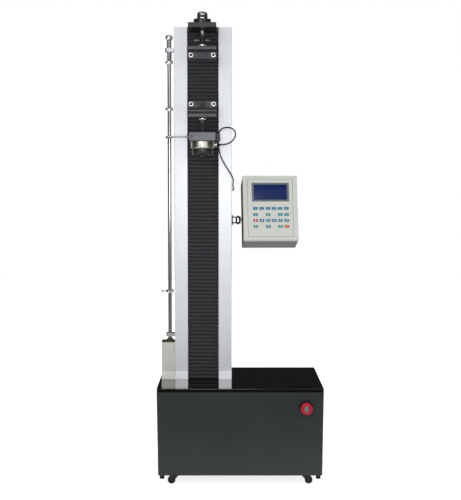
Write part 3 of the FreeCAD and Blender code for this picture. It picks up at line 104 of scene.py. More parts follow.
def smooth_line(points, steps):
    """Points along a NURBS spline that has the given control points."""
    curve = bpy.data.curves.new("line", "CURVE")
    curve.dimensions = "3D"
    spline = curve.splines.new("NURBS")
    spline.points.add(len(points) - 1)
    for target, point in zip(spline.points, points):
        target.co = (*point, 1)
    spline.order_u = 3
    spline.use_endpoint_u = True
    spline.resolution_u = steps
    holder = bpy.data.objects.new("line", curve)
    mesh = bpy.data.meshes.new_from_object(holder)
    line = [vertex.co.copy() for vertex in mesh.vertices]
    bpy.data.objects.remove(holder)
    bpy.data.meshes.remove(mesh)
    bpy.data.curves.remove(curve)
    return line


cable_line = smooth_line([Vector(point) * MM for point in cable_route], 10)

# %% [markdown]
# ## Turning a line or an outline into a mesh
# Most parts of a machine are turned, cut from plate or drawn as wire. Four helpers cover them: a
# tube along a line, a turned piece from radii and heights, a plate from an outline, and a flat ring
# between two outlines. Small bevels catch the light as the real broken edges do.

# %% Mesh helpers
TO_METRES = Matrix.Scale(MM, 4)


def finished(name, mesh, material, smooth_angle=35):
    """An object with its material, shaded smooth up to an angle."""
    mesh.shade_smooth()
    mesh.set_sharp_from_angle(angle=math.radians(smooth_angle))
    mesh.materials.append(material)
    piece = bpy.data.objects.new(name, mesh)
    scene.collection.objects.link(piece)
    return piece


def built(name, work, material, place=Matrix(), angle=35):
    """The object that a mesh under work becomes, once it's moved to its place."""
    mesh = bpy.data.meshes.new(name)
    work.transform(place)
    work.to_mesh(mesh)
    work.free()
    return finished(name, mesh, material, angle)


def skin(work, a, b):
    """Faces between two rings that have the same number of corners."""
    for k in range(len(a)):
        n = (k + 1) % len(a)
        work.faces.new((a[k], a[n], b[n], b[k]))


def polar(radius, turn):
    """The x and y of a point at a radius and an angle."""
    return (radius * cos(turn), radius * sin(turn))


def tube(name, line, radius, material, sides=12):
    """A round tube along a line in metres, kept from twisting by carrying one direction along."""
    work = bmesh.new()
    count = len(line)
    rings = []
    side = None
    for i, point in enumerate(line):
        ahead = (line[min(i + 1, count - 1)] - line[max(i - 1, 0)]).normalized()
        if side is None:
            side = ahead.orthogonal().normalized()
        side = (side - ahead * side.dot(ahead)).normalized()
        other = ahead.cross(side)
        corners = [side * x + other * y for x, y in ring_of(1, sides)]
        rings.append([work.verts.new(point + corner * radius) for corner in corners])
    for a, b in zip(rings, rings[1:]):
        skin(work, a, b)
    work.faces.new(list(reversed(rings[0])))
    work.faces.new(rings[-1])
    bmesh.ops.recalc_face_normals(work, faces=work.faces)
    return built(name, work, material)


def turned(name, outline, material, at=(0, 0, 0), axis=(0, 0, 1), sides=48, angle=35):
    """A piece turned on a lathe: outline holds (radius, height) pairs in mm. at is in mm too."""
    work = bmesh.new()
    rings = []
    for radius, height in outline:
        corners = ring_of(radius, sides) if radius else [(0, 0)]
        rings.append([work.verts.new((*corner, height)) for corner in corners])
    for a, b in zip(rings, rings[1:]):
        for k in range(sides):
            n = (k + 1) % sides
            corners = [a[k % len(a)], a[n % len(a)], b[n % len(b)], b[k % len(b)]]
            corners = list(dict.fromkeys(corners))
            if len(corners) > 2:
                work.faces.new(corners)
    for ring in (rings[0], rings[-1]):
        if len(ring) > 1 and outline[0] != outline[-1]:
            work.faces.new(ring)
    if outline[0] == outline[-1]:
        bmesh.ops.remove_doubles(work, verts=work.verts, dist=1e-5)
    bmesh.ops.recalc_face_normals(work, faces=work.faces)
    turn_to = Vector((0, 0, 1)).rotation_difference(Vector(axis)).to_matrix().to_4x4()
    place = TO_METRES @ Matrix.Translation(Vector(at)) @ turn_to
    return built(name, work, material, place, angle)


def plate(name, outline, thick, material, place=Matrix(), bevel=0.0, segments=2):
    """A flat piece in mm: outline holds (x, y) pairs, and it rises by thick along its own z."""
    work = bmesh.new()
    low = [work.verts.new((x, y, 0)) for x, y in outline]
    high = [work.verts.new((x, y, thick)) for x, y in outline]
    work.faces.new(list(reversed(low)))
    work.faces.new(high)
    skin(work, low, high)
    bmesh.ops.recalc_face_normals(work, faces=work.faces)
    if bevel:
        edges = [edge for edge in work.edges if edge.calc_face_angle(0) > math.radians(30)]
        bmesh.ops.bevel(
            work, geom=edges, offset=bevel, segments=segments, profile=0.5, affect="EDGES"
        )
    return built(name, work, material, TO_METRES @ place)


def band(name, outer, inner, low, high, material, place=Matrix()):
    """A flat ring, all in mm, between two outlines that have the same number of points."""
    work = bmesh.new()
    rings = []
    for outline, z in ((outer, low), (outer, high), (inner, high), (inner, low)):
        rings.append([work.verts.new((x, y, z)) for x, y in outline])
    for a, b in zip(rings, rings[1:] + rings[:1]):
        skin(work, a, b)
    bmesh.ops.recalc_face_normals(work, faces=work.faces)
    return built(name, work, material, TO_METRES @ place)


def rounded(width, height, radius, steps=4, centre=(0, 0)):
    """Outline of a rectangle with round corners."""
    outline = []
    for quarter, (sx, sy) in enumerate(((1, 1), (-1, 1), (-1, -1), (1, -1))):
        for i in range(steps + 1):
            turn = pi / 2 * (quarter + i / steps)
            x = sx * (width / 2 - radius) + radius * cos(turn)
            y = sy * (height / 2 - radius) + radius * sin(turn)
            outline.append((centre[0] + x, centre[1] + y))
    return outline


def ring_of(radius, sides, start=0.0):
    """Corners of a regular outline, such as a hexagon."""
    return [polar(radius, start + 2 * pi * k / sides) for k in range(sides)]


def hex_ring(across, sides=24):
    """Points along a hexagon, as many as a round outline has, so that the two can be joined."""
    points = []
    for k in range(sides):
        turn = 2 * pi * k / sides
        off = (turn + pi / 6) % (pi / 3) - pi / 6
        points.append(polar(across / 2 / cos(off), turn))
    return points


def facing(point, normal, up=(0, 0, 1)):
    """A place whose own z is the normal and whose own y is as near as can be to up."""
    z = Vector(normal).normalized()
    if abs(z.dot(Vector(up))) > 0.999:
        up = (0, 1, 0)
    x = Vector(up).cross(z).normalized()
    y = z.cross(x)
    turn = Matrix((x, y, z)).transposed().to_4x4()
    return Matrix.Translation(Vector(point)) @ turn


# %% [markdown]
# ## Finishes
# Every finish starts from the Principled shader, whose plain values sit on its own sockets.
# Real surfaces are never perfectly even, so each finish adds a small bump or a slight change of
# colour from noise, at the size the real one has: grains of paint, brush marks or a moulded skin.
# A bevel node rounds the shading at edges, where the real parts are broken with a file. A tone
# along one axis of the piece is painted light and shade that the lamps alone don't give: painted
# shade in the grips' gaps, at the arm's end and in the roots of the bellows' folds, a painted
# highlight on the folds' crests, a painted darker reflection on the rod low down and near its top,
# and a painted band of light at the foot of the column and of the switch box, for the light that
# the glossy top throws back.

# %% Finish helpers
NOISE_SPAN = (0.35, 0.65)  # noise seldom leaves this part of 0 to 1


def filled(node, **values):
    """Puts plain values on a node's sockets. Underscores in their names stand for spaces."""
    for socket, value in values.items():
        node.inputs[socket.replace("_", " ")].default_value = value
    return node


def added(tree, kind, **values):
    """A new shader node with its plain values."""
    return filled(tree.nodes.new("ShaderNode" + kind), **values)


def finish(name, colour, roughness, metallic=0.0, **more):
    """A plain Principled finish."""
    material = bpy.data.materials.new(name)
    material.use_nodes = True
    shader = material.node_tree.nodes["Principled BSDF"]
    filled(shader, Base_Color=(*colour, 1), Roughness=roughness, Metallic=metallic, **more)
    material.diffuse_color = (*colour, 1)
    return material


def noise(tree, scale, stretch=(1, 1, 1), detail=3.0):
    """Noise on the piece itself, so that it travels with the piece."""
    place = added(tree, "TexCoord")
    mapping = added(tree, "Mapping", Scale=stretch)
    texture = added(tree, "TexNoise", Scale=scale, Detail=detail)
    tree.links.new(place.outputs["Object"], mapping.inputs["Vector"])
    tree.links.new(mapping.outputs["Vector"], texture.inputs["Vector"])
    return texture.outputs["Fac"]


def bumpy(material, scale, depth, stretch=(1, 1, 1), edge=0.0):
    """Raises the surface by noise of a given size, in metres, and rounds its edges."""
    tree = material.node_tree
    height = noise(tree, scale, stretch)
    bump = added(tree, "Bump", Distance=depth, Strength=1.0)
    tree.links.new(height, bump.inputs["Height"])
    if edge:
        bevel = added(tree, "Bevel", Radius=edge)
        bevel.samples = 4
        tree.links.new(bevel.outputs["Normal"], bump.inputs["Normal"])
    tree.links.new(bump.outputs["Normal"], tree.nodes["Principled BSDF"].inputs["Normal"])


def varied(material, low, high, scale, stretch=(1, 1, 1)):
    """Lets the colour drift between two tones over the piece."""
    tree = material.node_tree
    drift = noise(tree, scale, stretch, 4.0)
    ramp = added(tree, "ValToRGB")
    for element, place, colour in zip(ramp.color_ramp.elements, NOISE_SPAN, (low, high)):
        element.position = place
        element.color = (*colour, 1)
    tree.links.new(drift, ramp.inputs["Fac"])
    tree.links.new(ramp.outputs["Color"], tree.nodes["Principled BSDF"].inputs["Base Color"])


def worn(material, low, high, scale):
    """Lets the gloss drift between two roughness values."""
    tree = material.node_tree
    drift = noise(tree, scale, detail=5.0)
    start, end = NOISE_SPAN
    spread = added(tree, "MapRange", From_Min=start, From_Max=end, To_Min=low, To_Max=high)
    tree.links.new(drift, spread.inputs["Value"])
    tree.links.new(spread.outputs["Result"], tree.nodes["Principled BSDF"].inputs["Roughness"])


def painted_light_along(material, axis, stops):
    """Paints light and shade by multiplying the colour along one axis: stops hold (place in mm,
    gain), in rising order.
    """
    tree = material.node_tree
    links = tree.links
    first, last = stops[0][0], stops[-1][0]
    peak = max(gain for place, gain in stops)
    place = added(tree, "TexCoord")
    split = added(tree, "SeparateXYZ")
    along = added(tree, "MapRange", From_Min=first * MM, From_Max=last * MM)
    ramp = added(tree, "ValToRGB")
    elements = ramp.color_ramp.elements
    while len(elements) < len(stops):
        elements.new(0.5)
    for element, (at, gain) in zip(elements, stops):
        element.position = (at - first) / (last - first)
        element.color = (gain / peak, gain / peak, gain / peak, 1)
    lift = added(tree, "Math")
    lift.operation = "MULTIPLY"
    lift.inputs[1].default_value = peak
    scale = added(tree, "VectorMath")
    scale.operation = "SCALE"
    base = tree.nodes["Principled BSDF"].inputs["Base Color"]
    links.new(place.outputs["Object"], split.inputs["Vector"])
    links.new(split.outputs[axis], along.inputs["Value"])
    links.new(along.outputs["Result"], ramp.inputs["Fac"])
    links.new(ramp.outputs["Color"], lift.inputs[0])
    links.new(base.links[0].from_socket, scale.inputs[0])
    links.new(lift.outputs["Value"], scale.inputs["Scale"])
    links.new(scale.outputs["Vector"], base)


def tones(colour, change):
    """Two tones, a little darker and a little lighter than a colour."""
    return [tuple(c * (1 - change) for c in colour), tuple(c * (1 + change) for c in colour)]


def surface(name, colour, roughness, metallic=0.0, drift=(), wear=(), grain=(), edge=0.0, **more):
    """A finish with its drift of colour, its wear and its grain, where those are given."""
    material = finish(name, colour, roughness, metallic, **more)
    if drift:
        varied(material, *tones(colour, drift[0]), *drift[1:])
    if wear:
        worn(material, *wear)
    if grain:
        bumpy(material, *grain, edge=edge)
    return material


# %% Paints and coatings
cabinet_paint = surface(
    "cabinet_paint", (0.0235, 0.0278, 0.0268), 0.42, drift=(0.10, 6), grain=(900, 6e-5),
    edge=0.0012, Specular_IOR_Level=0.35,
)
gloss_black = surface(
    "gloss_black", (0.0035, 0.0035, 0.0032), 0.03, wear=(0.02, 0.07, 30), grain=(25, 1e-5),
    edge=0.0012, IOR=1.5, Coat_Weight=0.35, Coat_Roughness=0.02,
)
profile_white = surface(
    "profile_white", (0.78, 0.789, 0.815), 0.34, 0.15, drift=(0.02, 3, (1, 1, 0.15)),
    grain=(500, 2e-5, (1, 1, 0.02)), edge=0.0008,
)
# Painted light: a paler band at the foot of the column, for the light that the glossy top throws
# back.
painted_light_along(profile_white, "Z", [(341.5, 1.32), (344.5, 1.0)])
grip_black, yoke_black = (
    surface(name, (0.070, 0.071, 0.077), 0.45, 0.35, (0.18, 60), grain=(700, 8e-5), edge=0.0006)
    for name in ("grip_black", "yoke_black")
)
# Painted shade: the yokes are darkened to 0.15 in bands at the gaps below the lower jaw and above
# the upper jaw.
yoke_gap_shade = [(1195, 1), (1196, 0.15), (1202, 0.15), (1203, 1), (1208, 1), (1209, 0.15)]
yoke_gap_shade += [(1214, 0.15), (1215, 1), (1393, 1), (1394.5, 0.15), (1399, 0.15), (1400.5, 1)]
painted_light_along(yoke_black, "Z", yoke_gap_shade)
arm_grey = surface(
    "arm_grey", (0.118, 0.119, 0.136), 0.4, 0.3, (0.12, 45), grain=(900, 6e-5), edge=0.0008
)
# Painted shade: the arm is darkened to 0.22 from x = -78.5 mm to its right end.
painted_light_along(arm_grey, "X", [(-79.5, 1), (-78.5, 0.22)])
cream_paint = surface(
    "cream_paint", (0.65, 0.637, 0.565), 0.5, drift=(0.03, 25), grain=(800, 7e-5), edge=0.0008
)
# Painted light: the same paler band at the foot of the switch box.
painted_light_along(cream_paint, "Z", [(341.5, 1.35), (344.5, 1.0)])
case_paint = surface(
    "case_paint", (0.70, 0.71, 0.645), 0.48, drift=(0.02, 20), grain=(1200, 5e-5), edge=0.0008
)
# Painted shade: the case's back takes a dark colour for the shade on the case's underside; the
# front is pale.
tray_painted_shade = surface(
    "tray_painted_shade", (0.091, 0.094, 0.081), 0.5, drift=(0.04, 20), grain=(1200, 6e-5), edge=0.0008
)

# %% [markdown]
# ## Metals
# Bright metal has almost no colour of its own: what it shows is the room. Polished pieces are
# smooth, ground and cast ones are rougher, and brushing stretches the noise along one direction.

# %% Metals
chrome = surface("chrome", (0.80, 0.80, 0.79), 0.07, 1.0, wear=(0.05, 0.12, 60))
rod_chrome = surface("rod_chrome", (0.52, 0.51, 0.51), 0.09, 1.0, (0.03, 15), (0.08, 0.11, 12))
# Painted reflection: the rod's colour is darkened along its lower part and near its top, where its
# reflection is darker.
rod_painted_reflection = [(430, 0.24), (580, 0.38), (860, 0.96), (1050, 0.96), (1345, 0.76)]
painted_light_along(rod_chrome, "Z", rod_painted_reflection)
nickel = surface(
    "nickel", (0.62, 0.585, 0.525), 0.34, 1.0, (0.04, 30), grain=(900, 5e-6, (1, 1, 0.1))
)
ground_steel = surface(
    "ground_steel", (0.62, 0.62, 0.61), 0.24, 1.0, wear=(0.18, 0.34, 90),
    grain=(700, 2e-5, (1, 1, 8)), edge=0.0004,
)
satin_alloy = surface(
    "satin_alloy", (0.47, 0.48, 0.50), 0.36, 0.85, (0.05, 80), grain=(900, 4e-5), edge=0.0006
)
cover_grey = surface(
    "cover_grey", (0.46, 0.47, 0.49), 0.45, 0.15, (0.03, 20), grain=(900, 4e-5), edge=0.0006
)
trip_steel = surface(
    "trip_steel", (0.36, 0.365, 0.375), 0.38, 0.6, (0.06, 70), grain=(900, 3e-5), edge=0.0006
)
dark_steel = surface(
    "dark_steel", (0.045, 0.045, 0.048), 0.38, 0.7, wear=(0.3, 0.5, 80), grain=(800, 5e-5),
    edge=0.0005,
)
dull_bronze = surface(
    "dull_bronze", (0.13, 0.10, 0.075), 0.42, 0.8, (0.35, 90), grain=(700, 6e-5)
)
zinc = surface("zinc", (0.74, 0.74, 0.73), 0.30, 1.0, wear=(0.24, 0.38, 200), grain=(1500, 2e-5))
wing_dark = surface("wing_dark", (0.032, 0.032, 0.035), 0.42, 0.8, wear=(0.36, 0.48, 120))
cap_grey = surface("cap_grey", (0.42, 0.42, 0.41), 0.32, 1.0, wear=(0.28, 0.38, 100))
stud_dark = surface("stud_dark", (0.15, 0.15, 0.15), 0.42, 0.9, wear=(0.36, 0.50, 150))
cell_dark = surface(
    "cell_dark", (0.052, 0.054, 0.048), 0.34, 0.7, wear=(0.28, 0.42, 120), grain=(900, 2e-5)
)

# %% Cloth, rubber and plastics
bellows_cloth = surface(
    "bellows_cloth", (0.040, 0.041, 0.045), 0.55, drift=(0.05, 40, (1, 1, 0.4)),
    grain=(1800, 4e-5), Sheen_Weight=0.15, Sheen_Roughness=0.5,
)
BLACK = (0.008, 0.008, 0.009)
black_rubber = surface(
    "black_rubber", BLACK, 0.55, grain=(1400, 8e-5), Specular_IOR_Level=0.3
)
black_plastic = surface(
    "black_plastic", BLACK, 0.4, grain=(1500, 6e-5), edge=0.0004, Specular_IOR_Level=0.3
)
cable_sheath = surface("cable_sheath", (0.020, 0.020, 0.024), 0.42, grain=(900, 5e-5))
stop_red = surface(
    "stop_red", (0.43, 0.010, 0.032), 0.30, grain=(600, 2e-5), Specular_IOR_Level=0.3
)
mark_pale = surface("mark_pale", (0.20, 0.26, 0.19), 0.5, grain=(900, 3e-5))
mark_dark = surface("mark_dark", (0.035, 0.055, 0.035), 0.5, grain=(900, 3e-5))

# %% The controller's screen, keys and print
bezel_grey = surface(
    "bezel_grey", (0.145, 0.168, 0.196), 0.42, drift=(0.08, 50), grain=(1200, 4e-5), edge=0.0005
)
screen_blue = surface(
    "screen_blue", (0.006, 0.020, 0.105), 0.25, drift=(0.12, 30), grain=(60, 1e-5),
    Specular_IOR_Level=0.2,
)
key_colours = {
    "blue": (0.045, 0.190, 0.330),
    "teal": (0.060, 0.270, 0.290),
    "red": (0.480, 0.060, 0.070),
    "orange": (0.640, 0.100, 0.025),
}
key_films = {
    word: surface(f"key_{word}", colour, 0.38, drift=(0.08, 300), grain=(1500, 3e-5))
    for word, colour in key_colours.items()
}
print_pale = surface("print_pale", (0.78, 0.84, 0.80), 0.5, grain=(1500, 2e-5))
line_grey = surface("line_grey", (0.26, 0.28, 0.25), 0.55, grain=(1500, 2e-5))
line_green = surface("line_green", (0.45, 0.60, 0.52), 0.55, grain=(1500, 2e-5))

# %% Materials for the plain nodes
corners = [f"{end}_{side}" for end in ("front", "rear") for side in ("left", "right")]
wheels = " ".join(f"{corner}_caster_wheel" for corner in corners)
forks = " ".join(f"{corner}_caster_fork" for corner in corners)
plain_nodes = (
    (cabinet_paint, "cabinet_shell rear_panel"),
    (gloss_black, "top_plate"),
    (black_rubber, "levelling_feet timing_belt " + wheels),
    (black_plastic, "power_inlet estop_collar limit_switches cable_grommet " + forks),
    (profile_white, "column_profiles"),
    (cover_grey, "column_back_cover"),
    (dark_steel, "top_bracket motor panel_bracket"),
    (ground_steel, "guide_rods screw_bearings lead_screw ball_nut"),
    (satin_alloy, "screw_pulley motor_pulley drive_bracket drive_unit carriage"),
    (satin_alloy, "rod_guide_brackets"),
    (arm_grey, "crosshead_arm"),
    (yoke_black, "upper_grip_yoke lower_grip_yoke"),
    (grip_black, "upper_jaw lower_jaw"),
    (cream_paint, "limit_switch_box"),
    (chrome, "swivel_knuckle stop_collars"),
    (tray_painted_shade, "case_back"),
    (case_paint, "case_front keypad_overlay"),
    (bezel_grey, "lcd_module"),
    (dull_bronze, "rod_gland"),
    (rod_chrome, "limit_rod"),
)
for material, names in plain_nodes:
    for name in names.split():
        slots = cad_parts[name].data.materials
        slots.clear()
        slots.append(material)
print("plain nodes with a finish:", sum(len(names.split()) for material, names in plain_nodes))

# %% [markdown]
# ## Tying pieces to the machine
# Each new piece rides on the body that carries it and hides the plain solids that it stands for.
# Small parts of one finish are joined into one piece.

# %% Helpers for dressing
def dress(piece, body, slot, *nodes):
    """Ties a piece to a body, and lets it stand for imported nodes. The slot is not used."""
    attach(piece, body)
    if nodes:
        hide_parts(*nodes)
    return piece


def joined(name, parts):
    """One piece from several that share a finish."""
    material = parts[0].data.materials[0]
    work = bmesh.new()
    for part in parts:
        mesh = part.data
        work.from_mesh(mesh)
        bpy.data.objects.remove(part)
        bpy.data.meshes.remove(mesh)
    return built(name, work, material)


# %% [markdown]
# ## The cable and its plug
# The plug is a nickel ring that screws on the sensor, with a rubber boot that tapers to the cable
# so that it doesn't bend sharply there. Both are turned shapes, and the boot's grooves let it flex.

# %% Build the plug and the cable
plug_at = (-80, -94, 1096)
ring_line = [(0, 0), (6.6, 0), (8, 0.8), (8, 4.2), (7.4, 5), (0, 5)]
plug_ring = turned("plug_ring", ring_line, nickel, plug_at, (1, 0, 0), 32)
dress(plug_ring, "crosshead", "bright_steel", "cable_plug")

boot_line = [(0, 4.8), (6.4, 4.8), (6.6, 5.4), (6.2, 8.4)]
for groove in range(4):
    boot_line += [
        (5.6 - 0.7 * groove, 9 + 1.7 * groove),
        (5.9 - 0.7 * groove, 9.6 + 1.7 * groove),
    ]
boot_line += [(2.9, 16), (0, 16)]
plug_boot = turned("plug_boot", boot_line, black_rubber, plug_at, (1, 0, 0), 32)
dress(plug_boot, "crosshead", "black_plastic", "cable_plug")

cable = tube("sensor_cable", cable_line, CABLE_RADIUS, cable_sheath, 14)
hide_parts("load_cell_cable")
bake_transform(cable)

# %% [markdown]
# ## Studio
# The photograph is a cut-out on white, lit softly from the front. A pale floor keeps a faint
# shadow. The world is white to the camera and in reflections, and softer for shading, so that pale
# paint doesn't burn out. Black cards stand behind, at both sides, above, low in front and on the
# floor, and only reflections see them. They give bright metal its dark lines and keep the gloss top
# dark, as cards do in a real studio. One lamp stands behind, because the back is looked at too.

# %% World, floor, cards and lamps
world = bpy.data.worlds.new("studio")
scene.world = world
world.use_nodes = True
sky = world.node_tree
sky.nodes.clear()


def larger(tree, first, second):
    """The larger of two values: 1 where a ray is of either kind."""
    node = added(tree, "Math")
    node.operation = "MAXIMUM"
    tree.links.new(first, node.inputs[0])
    tree.links.new(second, node.inputs[1])
    return node.outputs[0]


def mixed(tree, share, first, second, out):
    """Shows the first shader, and the second where the share is 1."""
    pick = added(tree, "MixShader")
    tree.links.new(share, pick.inputs["Fac"])
    tree.links.new(first, pick.inputs[1])
    tree.links.new(second, pick.inputs[2])
    tree.links.new(pick.outputs[0], out.inputs["Surface"])


rays = added(sky, "LightPath").outputs
direct = larger(sky, rays["Is Camera Ray"], rays["Is Glossy Ray"])
seen = larger(sky, direct, rays["Is Transmission Ray"])
soft = added(sky, "Background", Color=(0.93, 0.96, 1.0, 1), Strength=0.52)
white = added(sky, "Background", Color=(1, 1, 1, 1), Strength=1.0)
mixed(sky, seen, soft.outputs[0], white.outputs[0], added(sky, "OutputWorld"))


def sheet_of(name, width, height, place, material):
    """A flat rectangle that belongs to the studio."""
    mesh = bpy.data.meshes.new(name)
    x, y = width / 2, height / 2
    corners = [(-x, -y, 0), (x, -y, 0), (x, y, 0), (-x, y, 0)]
    mesh.from_pydata([place @ Vector(corner) for corner in corners], [], [(0, 1, 2, 3)])
    mesh.materials.append(material)
    stand = bpy.data.objects.new(name, mesh)
    scene.collection.objects.link(stand)
    return stand


floor_white = finish("floor_white", (0.9, 0.9, 0.9), 0.9)
floor_tree = floor_white.node_tree
glow = added(floor_tree, "Emission", Strength=0.8)
lit = added(floor_tree, "AddShader")
rays = added(floor_tree, "LightPath").outputs
direct = larger(floor_tree, rays["Is Camera Ray"], rays["Is Glossy Ray"])
plain = floor_tree.nodes["Principled BSDF"].outputs[0]
floor_tree.links.new(plain, lit.inputs[0])
floor_tree.links.new(glow.outputs[0], lit.inputs[1])
mixed(floor_tree, direct, plain, lit.outputs[0], floor_tree.nodes["Material Output"])
sheet_of("floor", 14, 14, Matrix.Translation((0, 0, -0.0005)), floor_white)

card_black = finish("card_black", (0.003, 0.003, 0.003), 0.9)


def card(name, width, height, centre, towards):
    """A black card that only reflections see."""
    place = facing(centre, Vector(towards) - Vector(centre))
    stand = sheet_of(name, width, height, place, card_black)
    stand.visible_camera = False
    stand.visible_diffuse = False
    stand.visible_shadow = False
    stand.visible_transmission = False


card("card_behind", 3.6, 3.4, (0, 1.5, 1.7), (0, 0, 1.7))
for side, name in ((-1, "card_left"), (1, "card_right")):
    card(name, 3.8, 3.4, (side * 2.2 - 0.12, -0.55, 1.7), (-0.12, -0.55, 1.7))
card("card_floor", 2.6, 2.4, (0, -1.8, 0.004), (0, -1.8, 1))
card("card_low", 3.4, 0.62, (0, -4.6, 0.31), (0, 0, 0.31))
card("card_above", 2.4, 2.8, (-0.1, -0.2, 3.0), (-0.1, -0.2, 0))


def lamp(name, power, width, centre, towards, colour=(1, 1, 1)):
    """A soft round lamp, in watts and metres, turned towards a point."""
    data = bpy.data.lights.new(name, "AREA")
    data.energy = power
    data.shape = "DISK"
    data.size = width
    data.color = colour
    holder = bpy.data.objects.new(name, data)
    holder.location = centre
    aim = Vector(towards) - Vector(centre)
    holder.rotation_euler = aim.to_track_quat("-Z", "Y").to_euler()
    scene.collection.objects.link(holder)
    return holder


lamp("key", 18, 1.6, (-1.4, -3.2, 2.4), (-0.1, 0, 0.9))
lamp("fill", 9, 2.0, (2.2, -2.6, 1.4), (0, 0, 0.8), (0.97, 0.98, 1.0))
lamp("front", 7.4, 0.5, (-0.1, -2.3, 0.98), (-0.1, 0, 0.98)).visible_camera = False
lamp("top", 10, 1.6, (0.2, 0.4, 3.4), (0, 0, 0.6))
lamp("back", 16, 1.8, (0.6, 3.2, 1.8), (0, 0, 0.8)).visible_camera = False
scene.view_settings.view_transform = "Standard"
print("lamps:", len(bpy.data.lights))

# %% [markdown]
# ## Bellows
# Folded strips close the slot above and below the crosshead and follow it up and down. One sheet is
# drawn as a zigzag with round folds. When the crosshead moves, each fold has to open or close
# evenly. The sheet is cut into sections.

# %% Bellows helpers
FOLD_STEPS = 4
FOLD_ROUND = 0.28
FOLD_PITCH = 12.4 * MM
ROOT_BACK = 2.5 * MM
SHEET_THICK = 0.8 * MM


def fold_line(count, crest, root, bottom, top):
    """Depth and height along a strip of round folds that starts and ends at a root."""
    line = []
    for i in range(count * 2 * FOLD_STEPS + 1):
        phase = i / (2 * FOLD_STEPS)
        wave = abs((phase % 1) * 2 - 1)
        soft_wave = wave + FOLD_ROUND * sin(2 * pi * wave) / (2 * pi)
        height = bottom + (top - bottom) * phase / count
        line.append((crest + (root - crest) * soft_wave, height))
    return line


def bellows(name, node, sections):
    """A strip of folds, cut into sections."""
    low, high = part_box(node)
    crest, root = low.y, high.y - ROOT_BACK
    count = round((high.z - low.z) / FOLD_PITCH)
    per = math.ceil(count / sections)
    pitch = (high.z - low.z) / count
    for first in range(0, count, per):
        last = min(first + per, count)
        bottom = low.z + pitch * first
        top = low.z + pitch * last
        line = fold_line(last - first, crest, root, bottom, top)
        work = bmesh.new()
        (fa, ba), (fb, bb) = [
            [[work.verts.new((x, y + deep, z)) for y, z in line] for deep in (0, SHEET_THICK)]
            for x in (low.x, high.x)
        ]
        for i in range(len(line) - 1):
            work.faces.new((fa[i], fb[i], fb[i + 1], fa[i + 1]))
            work.faces.new((ba[i + 1], bb[i + 1], bb[i], ba[i]))
            work.faces.new((fa[i + 1], ba[i + 1], ba[i], fa[i]))
            work.faces.new((fb[i], bb[i], bb[i + 1], fb[i + 1]))
        work.faces.new((fa[0], ba[0], bb[0], fb[0]))
        work.faces.new((fb[-1], bb[-1], ba[-1], fa[-1]))
        bmesh.ops.recalc_face_normals(work, faces=work.faces)
        piece = built(f"{name}_{first}", work, bellows_cloth, angle=60)
        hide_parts(node)
        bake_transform(piece)
    print(name, count, "folds in", math.ceil(count / per), "sections")


lower_low, lower_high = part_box("lower_bellows")
crest_at, root_at = lower_low.y / MM, (lower_high.y - ROOT_BACK) / MM
# Painted shade and highlight: the folds are darkened towards their roots and lightened on their
# crests.
painted_light_along(bellows_cloth, "Y", [(crest_at, 1.5), (root_at, 0.55)])
bellows("lower_folds", "lower_bellows", 10)
bellows("upper_folds", "upper_bellows", 6)

# %% [markdown]
# ## Screws
# A cap screw is a turned head with a hexagon socket. The bright head is a ring round the socket,
# and a darker liner with six flats sits inside it as painted shade, because a socket gets little
# light. One helper makes them all, from the large clamp screws to the small ones of the covers.

# %% Cap screws
def cap_screws(
    name, spots, body, radius, high, across, head=zinc, slot="bright_steel", nodes=()
):
    """Screw heads that stand on their spots, each a point and the direction it faces."""
    reach = across / math.sqrt(3) + 0.15
    chamfer = radius * 0.16
    broken = chamfer * 0.35
    outline = [(reach, 0.1), (radius, 0.1), (radius, high - chamfer)]
    outline += [(radius - broken, high - broken), (radius - chamfer, high)]
    outline += [(reach + 0.3, high), (reach, high - 0.3), (reach, 0.1)]
    heads = []
    sockets = []
    for at, normal in spots:
        place = facing(at, normal)
        heads.append(turned(name, outline, head, at, normal, 24))
        # Painted shade: the socket's walls and floor are dark steel.
        low = high - across * 0.7
        sockets.append(
            band(name, ring_of(reach, 24), hex_ring(across), low, high - 0.4, dark_steel, place)
        )
        sockets.append(plate(name, ring_of(reach, 24), low - 0.1, dark_steel, place))
    dress(joined(name, heads), body, slot, *nodes)
    dress(joined(f"{name}_sockets", sockets), body, "blackened_steel", *nodes)
    print(name, len(spots))


def thread(radius, low, high, pitch=1.5, deep=0.45):
    """Outline of a threaded rod, with a groove at every pitch."""
    count = round((high - low) / pitch)
    step = (high - low) / count
    outline = []
    for i in range(count):
        outline += [(radius - deep, low + step * i), (radius, low + step * (i + 0.5))]
    return outline + [(radius - deep, high)]


FRONT = (0, -1, 0)
BACK = (0, 1, 0)
GRIP_X = -122
JAW_FRONT = -104
JAW_LEVELS = {"upper": 1382.75, "lower": 1225.75}
CLAMP_X = {"left": GRIP_X - 36, "right": GRIP_X + 36}
for grip, level in JAW_LEVELS.items():
    for side, x in CLAMP_X.items():
        screw = f"{grip}_{side}_screw"
        spot = (x, JAW_FRONT, level)
        cap_screws(screw + "_head", [(spot, FRONT)], screw, 8, 10, 8, nodes=[screw])
        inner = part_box(screw)[1].y / MM
        outline = [(0, 0.2)] + thread(4.9, 0.2, inner - JAW_FRONT) + [(0, inner - JAW_FRONT)]
        shank = turned(screw + "_thread", outline, stud_dark, spot, BACK, 20)
        dress(shank, screw, "bright_steel", screw)

# %% [markdown]
# ## Jaws
# A jaw's pad is knurled so that the sample doesn't slip. A knurl is a grid of small pyramids, and
# it's modelled as such, because it shows at the pad's edge and catches light on every facet. The
# lower jaw also bears a dark ring with a bar under it, laid on as thin plates.

